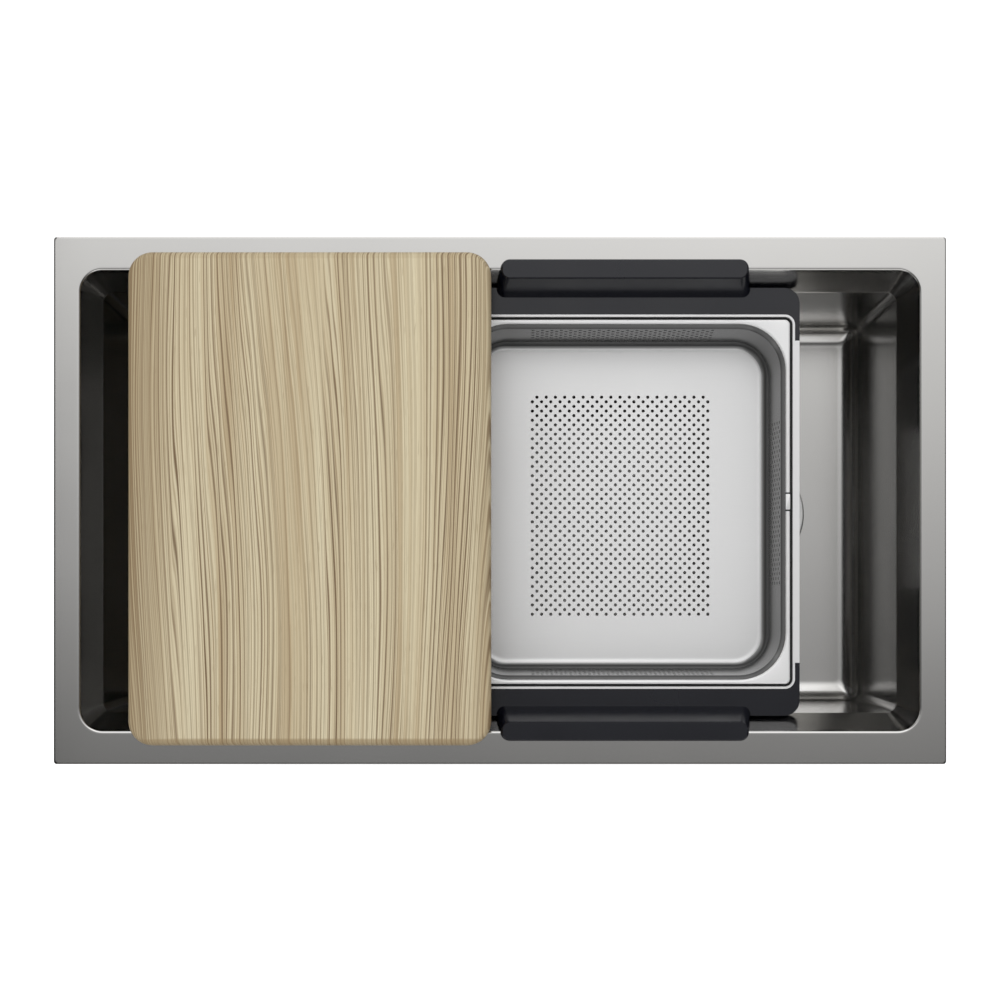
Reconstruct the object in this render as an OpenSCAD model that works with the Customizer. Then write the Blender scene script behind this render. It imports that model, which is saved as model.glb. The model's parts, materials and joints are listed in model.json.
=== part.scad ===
// Workstation kitchen sink: a deep steel bowl with a sloped ledge round its opening, a cutting board and a
// colander carrier that slide on its rim, a lift-out perforated tray and a basket strainer in the drain.
// Millimetres. Origin: centre of the opening, on the worktop surface that the rim's seal rests on.
// +X is to the right, +Y to the back and +Z up.

/* [Rim and opening] */
// Width of the rim, left to right
rim_w = 838.2; // [780:0.1:900]
// Depth of the rim, front to back
rim_d = 495.3; // [470:0.1:560]
// Corner radius of the rim
rim_r = 3; // [1:0.5:12]
// Width of the rim at its left and right sides
rim_side = 25.4; // [22:0.1:30]
// Width of the rim along its front and rear
rim_front = 31.75; // [28:0.05:40]
// Corner radius of the opening
open_r = 20.5; // [20:0.5:34]
// Radius of the bend at the opening's edge
bend_r = 2.5; // [2:0.1:3]
// Thickness of the steel sheet of the rim and the bowl
sheet_t = 1.5; // [0.9:0.1:1.8]

/* [Bowl] */
// Depth of the bowl below the top of the rim
bowl_depth = 228.6; // [180:0.1:260]
// How far the sloped ledge reaches in from the opening
ledge_in = 15.9; // [14:0.1:18]
// How far the sloped ledge drops
ledge_drop = 31; // [29:0.5:36]
// Corner radius of the bowl below the ledge
wall_r = 10; // [9:0.5:16]
// Radius of the rounded lip between the ledge and the wall
lip_round = 4; // [2:0.5:8]
// How far the walls lean in on the way down
wall_draft = 6.6; // [3:0.1:9]
// Radius between the walls and the floor
floor_fillet = 19.5; // [14:0.5:24]
// Corner radius of the flat part of the floor
floor_r = 4; // [2:0.5:6]

/* [Rim fixings] */
// Thickness of the foam seal under the rim
seal_t = 2; // [1:0.1:4]
// Distance from the rim's edge to the seal
seal_edge = 2; // [1:0.1:3]
// Width of the seal along the front and rear
seal_front_w = 12.6; // [10:0.1:14]
// Width of the seal along the left and right
seal_side_w = 9.6; // [8:0.1:10]
// Width of a clip rail
rail_w = 8; // [7:0.1:9]
// Height of a clip rail
rail_h = 7; // [6:0.1:9]
// Sheet thickness of a clip rail
rail_t = 1; // [0.8:0.1:1.2]
// Width of the slot along a clip rail
rail_slot = 3.8; // [3.4:0.1:4.2]
// Length of the front and rear clip rails
rail_long = 680; // [560:5:720]
// Length of the left and right clip rails
rail_short = 330; // [250:5:370]
// Height of a mounting clip below its rail
clip_h = 34; // [26:1:50]
// Width of a mounting clip along its rail
clip_w = 9; // [7:0.5:12]
// Length of a mounting clip's foot
clip_foot = 24; // [20:1:32]
// Thickness of a mounting clip's foot
clip_t = 2.5; // [2:0.1:4]
// Radius of a clip screw
clip_screw_r = 2.5; // [2:0.1:3]
// Length of a clip screw
clip_screw_l = 28; // [20:1:32]
// Clips on each of the front and rear rails
clips_long = 3; // [2:1:5]
// Clips on each of the left and right rails
clips_short = 2; // [2:1:3]

/* [Sound pads] */
// Thickness of the sound-deadening pads
pad_t = 3; // [2:0.5:5]
// Height of the pads on the walls
pad_h = 110; // [60:5:120]
// Length of the pads on the front and rear walls
pad_long = 520; // [300:10:620]
// Length of the pads on the left and right walls
pad_short = 250; // [150:10:280]
// Length of the pad under the floor
pad_floor_w = 420; // [200:10:460]
// Depth of the pad under the floor
pad_floor_d = 250; // [150:10:300]

/* [Drain] */
// Place of the drain, right of the sink's centre
drain_x = 259; // [230:1:270]
// Radius of the drain's flange
flange_r = 57; // [55:0.5:60]
// Height of the drain's flange above the floor
flange_t = 2.4; // [2.2:0.1:3]
// Inside radius of the strainer body's cup
cup_r = 41.5; // [38:0.5:43]
// Depth of the strainer body's cup below the floor
cup_depth = 40; // [36:1:50]
// Wall of the strainer body
cup_t = 3; // [2:0.1:3.5]
// Outside radius of the strainer body's outlet
outlet_r = 22.5; // [21.5:0.1:24]
// Length of the outlet below the cup's cone
outlet_l = 18; // [14:1:26]
// Drop of the cone under the cup
cone_drop = 12; // [9:1:18]
// Thickness of the rubber gasket under the floor
gasket_t = 3; // [2:0.5:4]
// Thickness of the fibre friction ring
friction_t = 1; // [0.5:0.1:2]
// Height of the lock nut
lock_h = 10; // [7:1:12]
// Radius of the lock nut
lock_r = 54; // [51:0.5:58]
// Outside radius of the tailpiece tube
tail_r = 19.05; // [18:0.05:19.2]
// Wall of the tailpiece tube
tail_t = 1.2; // [0.8:0.1:2]
// Length of the tailpiece
tail_l = 100; // [60:5:200]
// Outside radius of the slip nut on the tailpiece
slip_r = 29; // [28:0.5:33]
// Height of the slip nut
slip_h = 20; // [17:1:24]

/* [Basket strainer] */
// Outside radius of the basket's cup
basket_r = 37; // [33:0.5:37.5]
// Depth of the basket's cup
basket_depth = 32; // [26:1:33]
// Sheet thickness of the basket
basket_t = 1; // [0.8:0.1:1.2]
// Radius of the basket's knob
knob_r = 9; // [6:0.5:12]
// Height of the basket's knob
knob_h = 12; // [8:1:16]
// Radius of the basket's stem
stem_r = 3; // [2:0.1:4]
// Radius of the rubber stopper under the basket
stopper_r = 24; // [21:0.5:27]
// Thickness of the rubber stopper
stopper_t = 3; // [2:0.5:3.5]
// Radius of the basket's drain holes
basket_hole_r = 2; // [1.5:0.1:2.3]

/* [Cutting board] */
// Width of the board, left to right
board_w = 336.6; // [280:0.1:345]
// How far the board reaches over the rim at front and rear
board_over = 12.9; // [8:0.1:20]
// Thickness of the board's edge
board_t = 28.5; // [18:0.1:38]
// Height of the tongue that guides the board in the opening
tongue_h = 5; // [3:0.1:7]
// How far the tongue stops short of the board's ends
tongue_end = 12; // [8:1:20]
// Corner radius of the board
board_r = 22.5; // [12:0.5:30]
// Radius of the board's rounded top edge
board_edge = 5.5; // [2:0.5:9]
// Clear space from the board's right edge to the carrier's grip bars
board_gap = 8.1; // [8:0.1:12]
// Length of a pad under the board
foot_l = 70; // [40:5:120]
// Thickness of the pads under the board
foot_t = 1.3; // [1:0.1:2]

/* [Carrier] */
// Place of the carrier's centre, right of the sink's centre
carrier_x = 117; // [110:1:125]
// Width of the carrier, left to right
carrier_w = 333.8; // [320:0.1:340]
// Depth of the caps' top face below the rim
cap_drop = 19; // [17:0.5:20]
// Thickness of the caps above the steel plate
cap_t = 3; // [2:0.1:4]
// Height of the caps' skirt below the plate's top
skirt_h = 5; // [4.5:0.1:5.5]
// Width of each cap from the steel lip to its outer edge
cap_w = 25.5; // [23:0.1:27]
// Width of a cap's side arms
arm_w = 4.6; // [4:0.1:5.5]
// Length of a cap's side arms
arm_l = 50; // [35:1:60]
// Corner radius of the caps
cap_r = 14.5; // [14:0.1:16]
// Sheet thickness of the carrier's steel plate
plate_t = 1.5; // [1:0.1:2]
// Width of the raised steel lip round the carrier's opening
lip_w = 2.1; // [1.5:0.1:3]
// Height of the raised steel lip
lip_h = 4.5; // [4:0.1:5]
// Corner radius of the steel lip
lip_r = 9.5; // [7:0.5:12]
// Length of a grip bar along its top
bar_l = 231.6; // [160:0.1:240]
// Height of a grip bar above the rim
bar_h = 8; // [5:0.5:14]
// Width of a grip bar's top
bar_top_w = 18.6; // [16:0.1:24]
// How far a grip bar reaches over the rim
bar_over = 9.5; // [8:0.1:14]
// How far a grip bar's inner face leans
bar_lean = 13.3; // [9:0.1:15]
// How far a grip bar's ends lean
bar_draft = 4.3; // [2:0.1:6]
// Corner radius of a grip bar
bar_r = 8; // [5:0.5:9]
// Length of a glide strip under a grip bar
glide_l = 60; // [30:5:100]

/* [Colander tray] */
// Depth of the tray below its rim
tray_depth = 62; // [40:1:90]
// Width of the tray's rim
tray_rim_w = 4; // [4:0.1:6]
// Sheet thickness of the tray
tray_t = 1; // [0.6:0.1:1]
// Corner radius of the tray's opening
tray_r = 44; // [34:1:50]
// Width of the stacking step round the tray's wall
step_w = 3.3; // [1:0.1:4]
// How far the tray's wall leans in below the step
tray_lean = 5.5; // [2:0.1:8]
// Radius between the tray's wall and floor
tray_fillet = 10.5; // [8:0.5:16]
// Radius of the holes in the tray's floor
hole_r = 1.4; // [0.8:0.1:1.6]
// Distance between holes in a row
hole_pitch = 9; // [8:0.5:18]
// Rows of holes
hole_rows = 48; // [10:2:50]
// Holes in the longer rows
hole_cols = 20; // [6:1:22]

/* [Clearances] */
// Gap between pieces that rest or slide on each other
slide_gap = 0.2; // [0.1:0.05:0.5]
// Gap between the caps and the sloped ledge
slope_gap = 0.3; // [0.2:0.05:0.8]
// Gap between fixed pieces that are pressed or bonded together
fixed_gap = 0.05; // [0:0.01:0.1]
// Gap between the tray's rim and the steel lip
tray_gap = 2.5; // [1.5:0.1:3]
// Gap between the board's tongue and the opening
tongue_gap = 2; // [1:0.1:4]

/* [Hidden] */

eps = 0.01;
corner_steps = 6;
arc_steps = 4;
hole_sides = 24;
$fn = 64;

// Heights: every depth in this file is counted down from the rim's top
rim_top = sheet_t + seal_t;
open_w = rim_w - 2 * rim_side;
open_d = rim_d - 2 * rim_front;
slope_angle = atan2(ledge_in, ledge_drop);
wall_h = bowl_depth - ledge_drop - floor_fillet;
wall_angle = atan2(wall_draft, wall_h);
floor_in = ledge_in + wall_draft + floor_fillet;
floor_half_w = open_w / 2 - floor_in;
floor_half_d = open_d / 2 - floor_in;
straight_half_w = floor_half_w - floor_r;

// Drain stack, counted down from the floor's top
neck_r = cup_r + cup_t;
floor_hole_r = neck_r + 1;
thread_gap = 0.2;
bevel_in = 2.6;
bevel_drop = 0.7;
flange_edge = 0.6;
throat_r = cup_r + 2;
throat_drop = 2;
seal_ring_t = 0.8;
under_floor = sheet_t + fixed_gap;
lock_lugs = 6;
lug_w = 9;
lug_out = 4;
outlet_t = 3;
outlet_top = cup_depth + cone_drop;
outlet_end = outlet_top + outlet_l;
washer_t = 1.5;
tail_flange_t = 1.5;
tail_top = outlet_end + washer_t + 2 * fixed_gap;
slip_lip = 3;
slip_top = tail_top + tail_flange_t + slip_lip + fixed_gap - slip_h;
tail_flange_r = outlet_r - 0.5;
tail_neck_in = 0.4;
tail_clear = 1.45;
tail_neck_end = slip_top + slip_h + tail_clear;

// Basket, counted down from the floor's top
basket_rim_r = cup_r + 4;
bevel_r = flange_r - bevel_in;
basket_rim_drop = bevel_drop * (bevel_r - basket_rim_r) / (bevel_r - throat_r) - flange_t;
basket_top = basket_rim_drop - slide_gap - basket_t;
basket_shoulder = basket_top + 3;
basket_floor = basket_top + basket_depth;
basket_round = 4;
basket_flare = 2;
hole_rings = [12, 19.5, 27];
ring_holes = [8, 14, 20];
knob_edge = 2;
knob_side = 2;
stem_step = 1;
stem_gap = 0.1;
stopper_drop = cup_depth + (cup_r - stopper_r) * cone_drop / (cup_r - (outlet_r - outlet_t)) - slide_gap;
basket_nut_h = 3;
basket_nut_r = 6;

// Carrier, counted from the rim's top
plate_drop = cap_drop + cap_t;
cap_bottom = plate_drop + skirt_h;
chamfer_h = 1.8;
cap_out = open_d / 2 - slope_in(cap_bottom - chamfer_h) - slope_gap;
cap_out_x = carrier_w / 2;
chamfer_in = slope_in(chamfer_h);
lip_out_x = cap_out_x - arm_w;
lip_out_y = cap_out - cap_w;
skirt_w = 3.5;
plate_edge = 1.6;
band_in = 0.3;
shelf_w = 6.5;
stud_r = 2;
stud_head_r = 3.5;
stud_head_h = 1.4;
stud_in = 14;
stud_places = [-130, -60, 60, 130];
bar_out = open_d / 2 + bar_over;
bar_in = bar_out - bar_top_w;
bar_base_in = bar_in - bar_lean;
bar_edge = 1.5;
glide_t = 1.3;
glide_w = 7;
overhang_drop = -(slide_gap + glide_t + fixed_gap);
bar_clear = 2;

// Tray, counted from the rim's top
tray_top = plate_drop - lip_h + 0.5;
tray_half_x = lip_out_x - lip_w - tray_gap - tray_rim_w;
tray_half_y = lip_out_y - lip_w - tray_gap - tray_rim_w;
tray_edge_r = 1.6;
tray_rim_r = 5;
tray_bend = 2;
neck_angle = 6;
neck_in = 0.7;
step_top = 6;
step_fall = 1.8;
step_angle = 35;
tray_foot = neck_in + step_w + tray_lean;
tray_wall_angle = atan2(tray_lean, tray_depth - step_top - step_fall - tray_fillet);
tray_floor_drop = tray_top + tray_depth;
tray_floor_in = tray_foot + tray_fillet;
tab_w = 17;
tab_out = 1.2;
tab_h = 1;

// Board, counted from the rim's top
board_half_d = open_d / 2 + board_over;
board_right = carrier_x - bar_l / 2 - bar_draft * (bar_h / (bar_h + cap_drop)) - board_gap;
board_x = board_right - board_w / 2;
board_lift = slide_gap + foot_t + fixed_gap;
board_chamfer = 2;
tongue_d = open_d - 2 * tongue_gap;
tongue_r = open_r + 2;
foot_w = 9;
foot_in = 50;

// Rim fixings
rail_gap_front = 4;
rail_gap_side = 1.5;
rail_y = rim_d / 2 - seal_edge - seal_front_w - rail_gap_front - rail_w / 2;
rail_x = rim_w / 2 - seal_edge - seal_side_w - rail_gap_side - rail_w / 2;
clip_span_long = 0.8;
clip_span_short = 0.65;
clip_head_t = 1.5;
clip_hole_in = 6;
screw_head_h = 3.5;
screw_head_r = 4.4;
pad_depth = 130;
pad_floor_x = -60;

// How far the ledge's slope has come in at a depth below the rim
function slope_in(depth) = ledge_in * depth / ledge_drop;

// One corner's share of a rounded rectangle's outline
function corner_arc(cx, cy, r, start) =
    [for (i = [0:corner_steps]) let (a = start + 90 * i / corner_steps) [cx + r * cos(a), cy + r * sin(a)]];

// Outline of a rounded rectangle with half sizes a and b and corner radius r, at height z
function ring(a, b, r, z) =
    let (outline = concat(
        corner_arc(a - r, b - r, r, 0),
        corner_arc(r - a, b - r, r, 90),
        corner_arc(r - a, r - b, r, 180),
        corner_arc(a - r, r - b, r, 270)))
    [for (p = outline) [p[0], p[1], z]];

// A profile row is [inset, height, angle of the surface's normal, corner radius]
function arc_rows(inset, height, radius, from, to, r_from, r_to) =
    [for (i = [0:arc_steps])
        let (k = i / arc_steps, a = from + (to - from) * k)
        [inset + radius * cos(a), height + radius * sin(a), a, r_from + (r_to - r_from) * k]];

// The ring of a profile row, moved back through the sheet by t
function row_ring(half_w, half_d, row, t) =
    let (inset = row[0] - t * cos(row[2]))
    ring(half_w - inset, half_d - inset, row[3] + t * cos(row[2]), row[1] - t * sin(row[2]));

// Solid between rings: the first ring is closed facing up and the last facing down.
// With open = true the last ring joins the first instead, which leaves the middle open
module loft(rings, open = false) {
    n = len(rings[0]);
    m = len(rings);
    sides = [for (j = [0:m - (open ? 1 : 2)], i = [0:n - 1])
        let (k = (i + 1) % n, low = j * n, high = (j + 1) % m * n)
        each [[low + i, low + k, high + k], [low + i, high + k, high + i]]];
    caps = [[for (i = [n - 1:-1:0]) i], [for (i = [0:n - 1]) (m - 1) * n + i]];
    polyhedron(points = [for (r = rings) each r], faces = open ? sides : concat(caps, sides));
}

// Pressed sheet of thickness t that follows profile rows from its edge in to its floor
module pressed_sheet(half_w, half_d, rows, t, open = false) {
    inside = [for (k = [len(rows) - 1:-1:0]) row_ring(half_w, half_d, rows[k], 0)];
    outside = [for (row = rows) row_ring(half_w, half_d, row, t)];
    loft(concat(inside, outside), open);
}

module round_rect(w, d, r) {
    square([w - 2 * r, d], center = true);
    square([w, d - 2 * r], center = true);
    for (x = [-1, 1], y = [-1, 1])
        translate([x * (w / 2 - r), y * (d / 2 - r)]) circle(r);
}

// Ring-shaped slab from depth top to depth bottom
module frame_slab(top, bottom, outer, inner) {
    translate([0, 0, -bottom])
        linear_extrude(bottom - top)
            difference() {
                round_rect(outer[0], outer[1], outer[2]);
                round_rect(inner[0], inner[1], inner[2]);
            }
}

module from_rim() {
    translate([0, 0, rim_top]) children();
}

module at_drain() {
    translate([drain_x, 0, rim_top - bowl_depth]) children();
}

module at_carrier() {
    translate([carrier_x, 0, rim_top]) children();
}

module turned(r_outer, r_inner, top, bottom) {
    translate([0, 0, -bottom])
        difference() {
            cylinder(h = bottom - top, r = r_outer);
            translate([0, 0, -eps]) cylinder(h = bottom - top + 2 * eps, r = r_inner);
        }
}

// ---- Sink ----

module rim() {
    color("silver") from_rim()
        frame_slab(0, sheet_t, [rim_w, rim_d, rim_r],
            [open_w + 2 * bend_r, open_d + 2 * bend_r, open_r + bend_r]);
}

function bowl_rows() =
    let (
        mean = (slope_angle + wall_angle) / 2,
        half = (slope_angle - wall_angle) / 2,
        lip_c = lip_round / cos(half))
    concat(
        arc_rows(-bend_r, -bend_r, bend_r, 90, slope_angle, open_r + bend_r, open_r),
        arc_rows(ledge_in - lip_c * cos(mean), -ledge_drop - lip_c * sin(mean), lip_round,
            slope_angle, wall_angle, wall_r, wall_r),
        arc_rows(floor_in, floor_fillet - bowl_depth, -floor_fillet, wall_angle, 90, wall_r, floor_r));

// The whole bowl; it is welded up from a floor, a front, a rear and two ends with the rounded corners
module bowl_sheet() {
    from_rim() pressed_sheet(open_w / 2, open_d / 2, bowl_rows(), sheet_t);
}

// Tall block that holds the floor's flat part
module floor_block() {
    translate([-floor_half_w, -floor_half_d, -2 * bowl_depth])
        cube([2 * floor_half_w, 2 * floor_half_d, 2 * bowl_depth + rim_top + bend_r]);
}

module bowl_floor() {
    color("silver") difference() {
        intersection() {
            bowl_sheet();
            floor_block();
        }
        at_drain() translate([0, 0, -2 * under_floor])
            cylinder(h = 4 * under_floor, r = floor_hole_r);
    }
}

// Straight wall with its fillet and its part of the ledge
module bowl_side() {
    color("silver") intersection() {
        bowl_sheet();
        translate([-straight_half_w, floor_half_d, -2 * bowl_depth])
            cube([2 * straight_half_w, open_d, 4 * bowl_depth]);
    }
}

module bowl_rear() {
    bowl_side();
}

module bowl_front() {
    mirror([0, 1, 0]) bowl_side();
}

// End wall with the two rounded corners beside it
module bowl_end() {
    color("silver") difference() {
        intersection() {
            bowl_sheet();
            translate([straight_half_w, -open_d, -2 * bowl_depth])
                cube([open_w, 2 * open_d, 4 * bowl_depth]);
        }
        floor_block();
    }
}

module bowl_right() {
    bowl_end();
}

module bowl_left() {
    mirror([1, 0, 0]) bowl_end();
}

module rim_seal() {
    color("dimgray") from_rim()
        frame_slab(sheet_t, sheet_t + seal_t,
            [rim_w - 2 * seal_edge, rim_d - 2 * seal_edge, rim_r],
            [rim_w - 2 * (seal_edge + seal_side_w), rim_d - 2 * (seal_edge + seal_front_w), rim_r]);
}

module rail(length) {
    translate([-length / 2, 0, -sheet_t])
        rotate([90, 0, 90])
            linear_extrude(length)
                difference() {
                    translate([-rail_w / 2, -rail_h]) square([rail_w, rail_h]);
                    translate([-rail_w / 2 + rail_t, -rail_h + rail_t])
                        square([rail_w - 2 * rail_t, rail_h - 2 * rail_t]);
                    translate([-rail_slot / 2, -rail_h - eps]) square([rail_slot, rail_t + 2 * eps]);
                }
}

// Places its children on a rail of one side: 0 rear, 1 left, 2 front, 3 right
module on_side(side) {
    reach = side % 2 == 0 ? rail_y : rail_x;
    from_rim() rotate([0, 0, 90 * side]) translate([0, reach, 0]) children();
}

module clip_rail_rear() {
    color("gray") on_side(0) rail(rail_long);
}

module clip_rail_left() {
    color("gray") on_side(1) rail(rail_short);
}

module clip_rail_front() {
    color("gray") on_side(2) rail(rail_long);
}

module clip_rail_right() {
    color("gray") on_side(3) rail(rail_short);
}

// Even places along a rail for its clips
function clip_places(length, count, span) = [for (i = [0:count - 1]) length * span * (i / (count - 1) - 0.5)];

module each_clip() {
    for (side = [0:3])
        for (x = side % 2 == 0
            ? clip_places(rail_long, clips_long, clip_span_long)
            : clip_places(rail_short, clips_short, clip_span_short))
            on_side(side) translate([x, 0, 0]) children();
}

// Clip as delivered: its foot lies along the rail, so that the sink drops into the cut-out
module clip() {
    head_w = rail_w - 2 * rail_t - 2 * slide_gap;
    neck_w = rail_slot - 2 * slide_gap;
    head_z = -sheet_t - rail_h + rail_t + slide_gap;
    foot_z = -sheet_t - rail_h - clip_h;
    translate([-clip_w / 2, -head_w / 2, head_z]) cube([clip_w, head_w, clip_head_t]);
    translate([-clip_w / 2, -neck_w / 2, foot_z]) cube([clip_w, neck_w, head_z + clip_head_t - foot_z]);
    difference() {
        translate([-clip_w / 2, -rail_w / 2, foot_z]) cube([clip_foot, rail_w, clip_t]);
        translate([clip_foot - clip_w / 2 - clip_hole_in, 0, foot_z - eps])
            cylinder(h = clip_t + 2 * eps, r = clip_screw_r + stem_gap, $fn = hole_sides);
    }
}

module mounting_clips() {
    color("lightgray") each_clip() clip();
}

module clip_screws() {
    foot_z = -sheet_t - rail_h - clip_h;
    color("gainsboro") each_clip()
        translate([clip_foot - clip_w / 2 - clip_hole_in, 0, foot_z - screw_head_h - slide_gap]) {
            cylinder(h = clip_screw_l, r = clip_screw_r, $fn = hole_sides);
            cylinder(h = screw_head_h, r = screw_head_r, $fn = 6);
        }
}

// Pad on the outside of a wall that stands half away from the centre
module wall_pad(half, length) {
    color("black") from_rim()
        translate([0, half - ledge_in - wall_draft * (pad_depth - ledge_drop) / wall_h, -pad_depth])
            rotate([-wall_angle, 0, 0])
                translate([-length / 2, sheet_t + fixed_gap, -pad_h / 2]) cube([length, pad_t, pad_h]);
}

module sound_pad_rear() {
    wall_pad(open_d / 2, pad_long);
}

module sound_pad_left() {
    rotate([0, 0, 90]) wall_pad(open_w / 2, pad_short);
}

module sound_pad_front() {
    rotate([0, 0, 180]) wall_pad(open_d / 2, pad_long);
}

module sound_pad_right() {
    rotate([0, 0, 270]) wall_pad(open_w / 2, pad_short);
}

module sound_pad_floor() {
    color("black") from_rim()
        translate([pad_floor_x - pad_floor_w / 2, -pad_floor_d / 2, -bowl_depth - under_floor - pad_t])
            cube([pad_floor_w, pad_floor_d, pad_t]);
}

// ---- Drain ----

module strainer_body() {
    bore = outlet_r - outlet_t;
    color("whitesmoke") at_drain() rotate_extrude()
        polygon([
            [flange_r, seal_ring_t], [flange_r, flange_t - flange_edge], [flange_r - flange_edge, flange_t],
            [bevel_r, flange_t], [throat_r, flange_t - bevel_drop], [cup_r, -throat_drop],
            [cup_r, -cup_depth], [bore, -outlet_top], [bore, -outlet_end],
            [outlet_r, -outlet_end], [outlet_r, -outlet_top], [neck_r, -cup_depth], [neck_r, seal_ring_t]]);
}

module flange_seal() {
    color("dimgray") at_drain()
        turned(flange_r - 1, floor_hole_r, -(seal_ring_t - fixed_gap), -fixed_gap);
}

module drain_gasket() {
    color("black") at_drain()
        turned(lock_r, neck_r + thread_gap, under_floor, under_floor + gasket_t);
}

module friction_ring() {
    top = under_floor + gasket_t + fixed_gap;
    color("tan") at_drain() turned(lock_r - 1, neck_r + thread_gap, top, top + friction_t);
}

module lock_nut() {
    top = under_floor + gasket_t + friction_t + 2 * fixed_gap;
    color("goldenrod") at_drain() difference() {
        union() {
            translate([0, 0, -top - lock_h]) cylinder(h = lock_h, r = lock_r);
            for (i = [0:lock_lugs - 1])
                rotate([0, 0, 360 * i / lock_lugs])
                    translate([lock_r - lug_w / 2, -lug_w / 2, -top - lock_h])
                        cube([lug_w / 2 + lug_out, lug_w, lock_h]);
        }
        translate([0, 0, -top - lock_h - eps]) cylinder(h = lock_h + 2 * eps, r = neck_r + thread_gap);
    }
}

// Flanged tube, drawn in a little where the slip nut turns round it
module tailpiece() {
    color("gainsboro") at_drain() difference() {
        union() {
            translate([0, 0, -tail_top - tail_flange_t]) cylinder(h = tail_flange_t, r = tail_flange_r);
            translate([0, 0, -tail_neck_end - eps])
                cylinder(h = tail_neck_end + eps - tail_top, r = tail_r - tail_neck_in);
            translate([0, 0, -tail_top - tail_l]) cylinder(h = tail_top + tail_l - tail_neck_end, r = tail_r);
        }
        translate([0, 0, -tail_top - tail_l - eps]) cylinder(h = tail_l + 2 * eps, r = tail_r - tail_t);
    }
}

module tailpiece_washer() {
    color("white") at_drain()
        turned(outlet_r, outlet_r - outlet_t, outlet_end + fixed_gap, outlet_end + fixed_gap + washer_t);
}

module tailpiece_nut() {
    color("gainsboro") at_drain() difference() {
        translate([0, 0, -slip_top - slip_h]) cylinder(h = slip_h, r = slip_r, $fn = 8);
        translate([0, 0, -slip_top - slip_h - eps]) cylinder(h = slip_h + 2 * eps, r = tail_r + thread_gap);
        translate([0, 0, -slip_top - slip_h + slip_lip]) cylinder(h = slip_h, r = outlet_r + thread_gap);
    }
}

// ---- Basket strainer ----

module hole_circle(count, radius) {
    for (i = [0:count - 1])
        rotate([0, 0, 360 * i / count]) translate([radius, 0, 0]) children();
}

module basket_cup() {
    inner = basket_r - basket_t;
    color("gainsboro") at_drain() difference() {
        rotate_extrude()
            polygon([
                [basket_rim_r, -basket_top], [inner + basket_flare, -basket_top], [inner, -basket_shoulder],
                [inner, -basket_floor + basket_round], [inner - basket_round, -basket_floor],
                [stem_r + stem_gap, -basket_floor], [stem_r + stem_gap, -basket_floor - basket_t],
                [basket_r - basket_round, -basket_floor - basket_t],
                [basket_r, -basket_floor + basket_round - basket_t],
                [basket_r, -basket_shoulder], [basket_r + basket_flare, -basket_top - basket_t],
                [basket_rim_r, -basket_top - basket_t]]);
        for (i = [0:len(hole_rings) - 1])
            translate([0, 0, -basket_floor - 2 * basket_t])
                hole_circle(ring_holes[i], hole_rings[i])
                    cylinder(h = 3 * basket_t, r = basket_hole_r, $fn = hole_sides);
    }
}

module basket_knob() {
    top = flange_t + knob_h;
    color("gainsboro") at_drain() rotate_extrude()
        polygon([
            [0, top], [knob_r - knob_edge, top], [knob_r, top - knob_edge],
            [knob_r, top - knob_edge - knob_side], [stem_r + stem_step, 0],
            [stem_r + stem_step, -basket_floor + fixed_gap], [stem_r, -basket_floor + fixed_gap],
            [stem_r, -stopper_drop - basket_nut_h], [0, -stopper_drop - basket_nut_h]]);
}

module basket_stopper() {
    color("black") at_drain()
        turned(stopper_r, stem_r + stem_gap, stopper_drop - stopper_t, stopper_drop);
}

module basket_nut() {
    color("gray") at_drain() translate([0, 0, -stopper_drop - fixed_gap - basket_nut_h])
        difference() {
            cylinder(h = basket_nut_h, r = basket_nut_r, $fn = 6);
            translate([0, 0, -eps]) cylinder(h = basket_nut_h + 2 * eps, r = stem_r + stem_gap);
        }
}

// ---- Cutting board ----

// Rows of the board's edge from the top's flat part down to the underside
function board_rows() = concat(
    [for (i = [0:arc_steps]) let (a = 90 - 90 * i / arc_steps)
        [board_edge * (1 - cos(a)), board_t - board_edge * (1 - sin(a))]],
    [[0, board_chamfer], [board_chamfer, 0]]);

module cutting_board() {
    color("burlywood") from_rim() translate([board_x, 0, board_lift]) {
        loft([for (row = board_rows())
            ring(board_w / 2 - row[0], board_half_d - row[0], board_r - row[0], row[1])]);
        translate([0, 0, -tongue_h - board_lift])
            linear_extrude(tongue_h + board_lift + board_chamfer)
                round_rect(board_w - 2 * tongue_end, tongue_d, tongue_r);
    }
}

module board_pads() {
    color("dimgray") from_rim()
        for (x = [-1, 1], y = [-1, 1])
            translate([
                board_x + x * (board_w / 2 - foot_in) - foot_l / 2,
                y * (open_d / 2 + board_over / 2) - foot_w / 2,
                slide_gap]) cube([foot_l, foot_w, foot_t]);
}

// ---- Carrier ----

module carrier_frame() {
    plate_out_x = cap_out_x - plate_edge;
    plate_out_y = cap_out - skirt_w - fixed_gap;
    opening = [2 * (lip_out_x - shelf_w), 2 * (lip_out_y - shelf_w), lip_r / 2];
    color("silver") at_carrier() {
        difference() {
            frame_slab(plate_drop, plate_drop + plate_t,
                [2 * plate_out_x, 2 * plate_out_y, cap_r - plate_edge], opening);
            for (x = stud_places, y = [-1, 1])
                translate([x, y * (cap_out - stud_in), -plate_drop - plate_t - eps])
                    cylinder(h = plate_t + 2 * eps, r = stud_r + stem_gap, $fn = hole_sides);
        }
        frame_slab(plate_drop - lip_h, plate_drop + eps, [2 * lip_out_x, 2 * lip_out_y, lip_r],
            [2 * (lip_out_x - lip_w), 2 * (lip_out_y - lip_w), lip_r - lip_w]);
        for (x = [0, 1])
            mirror([x, 0, 0]) side_band();
    }
}

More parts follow.
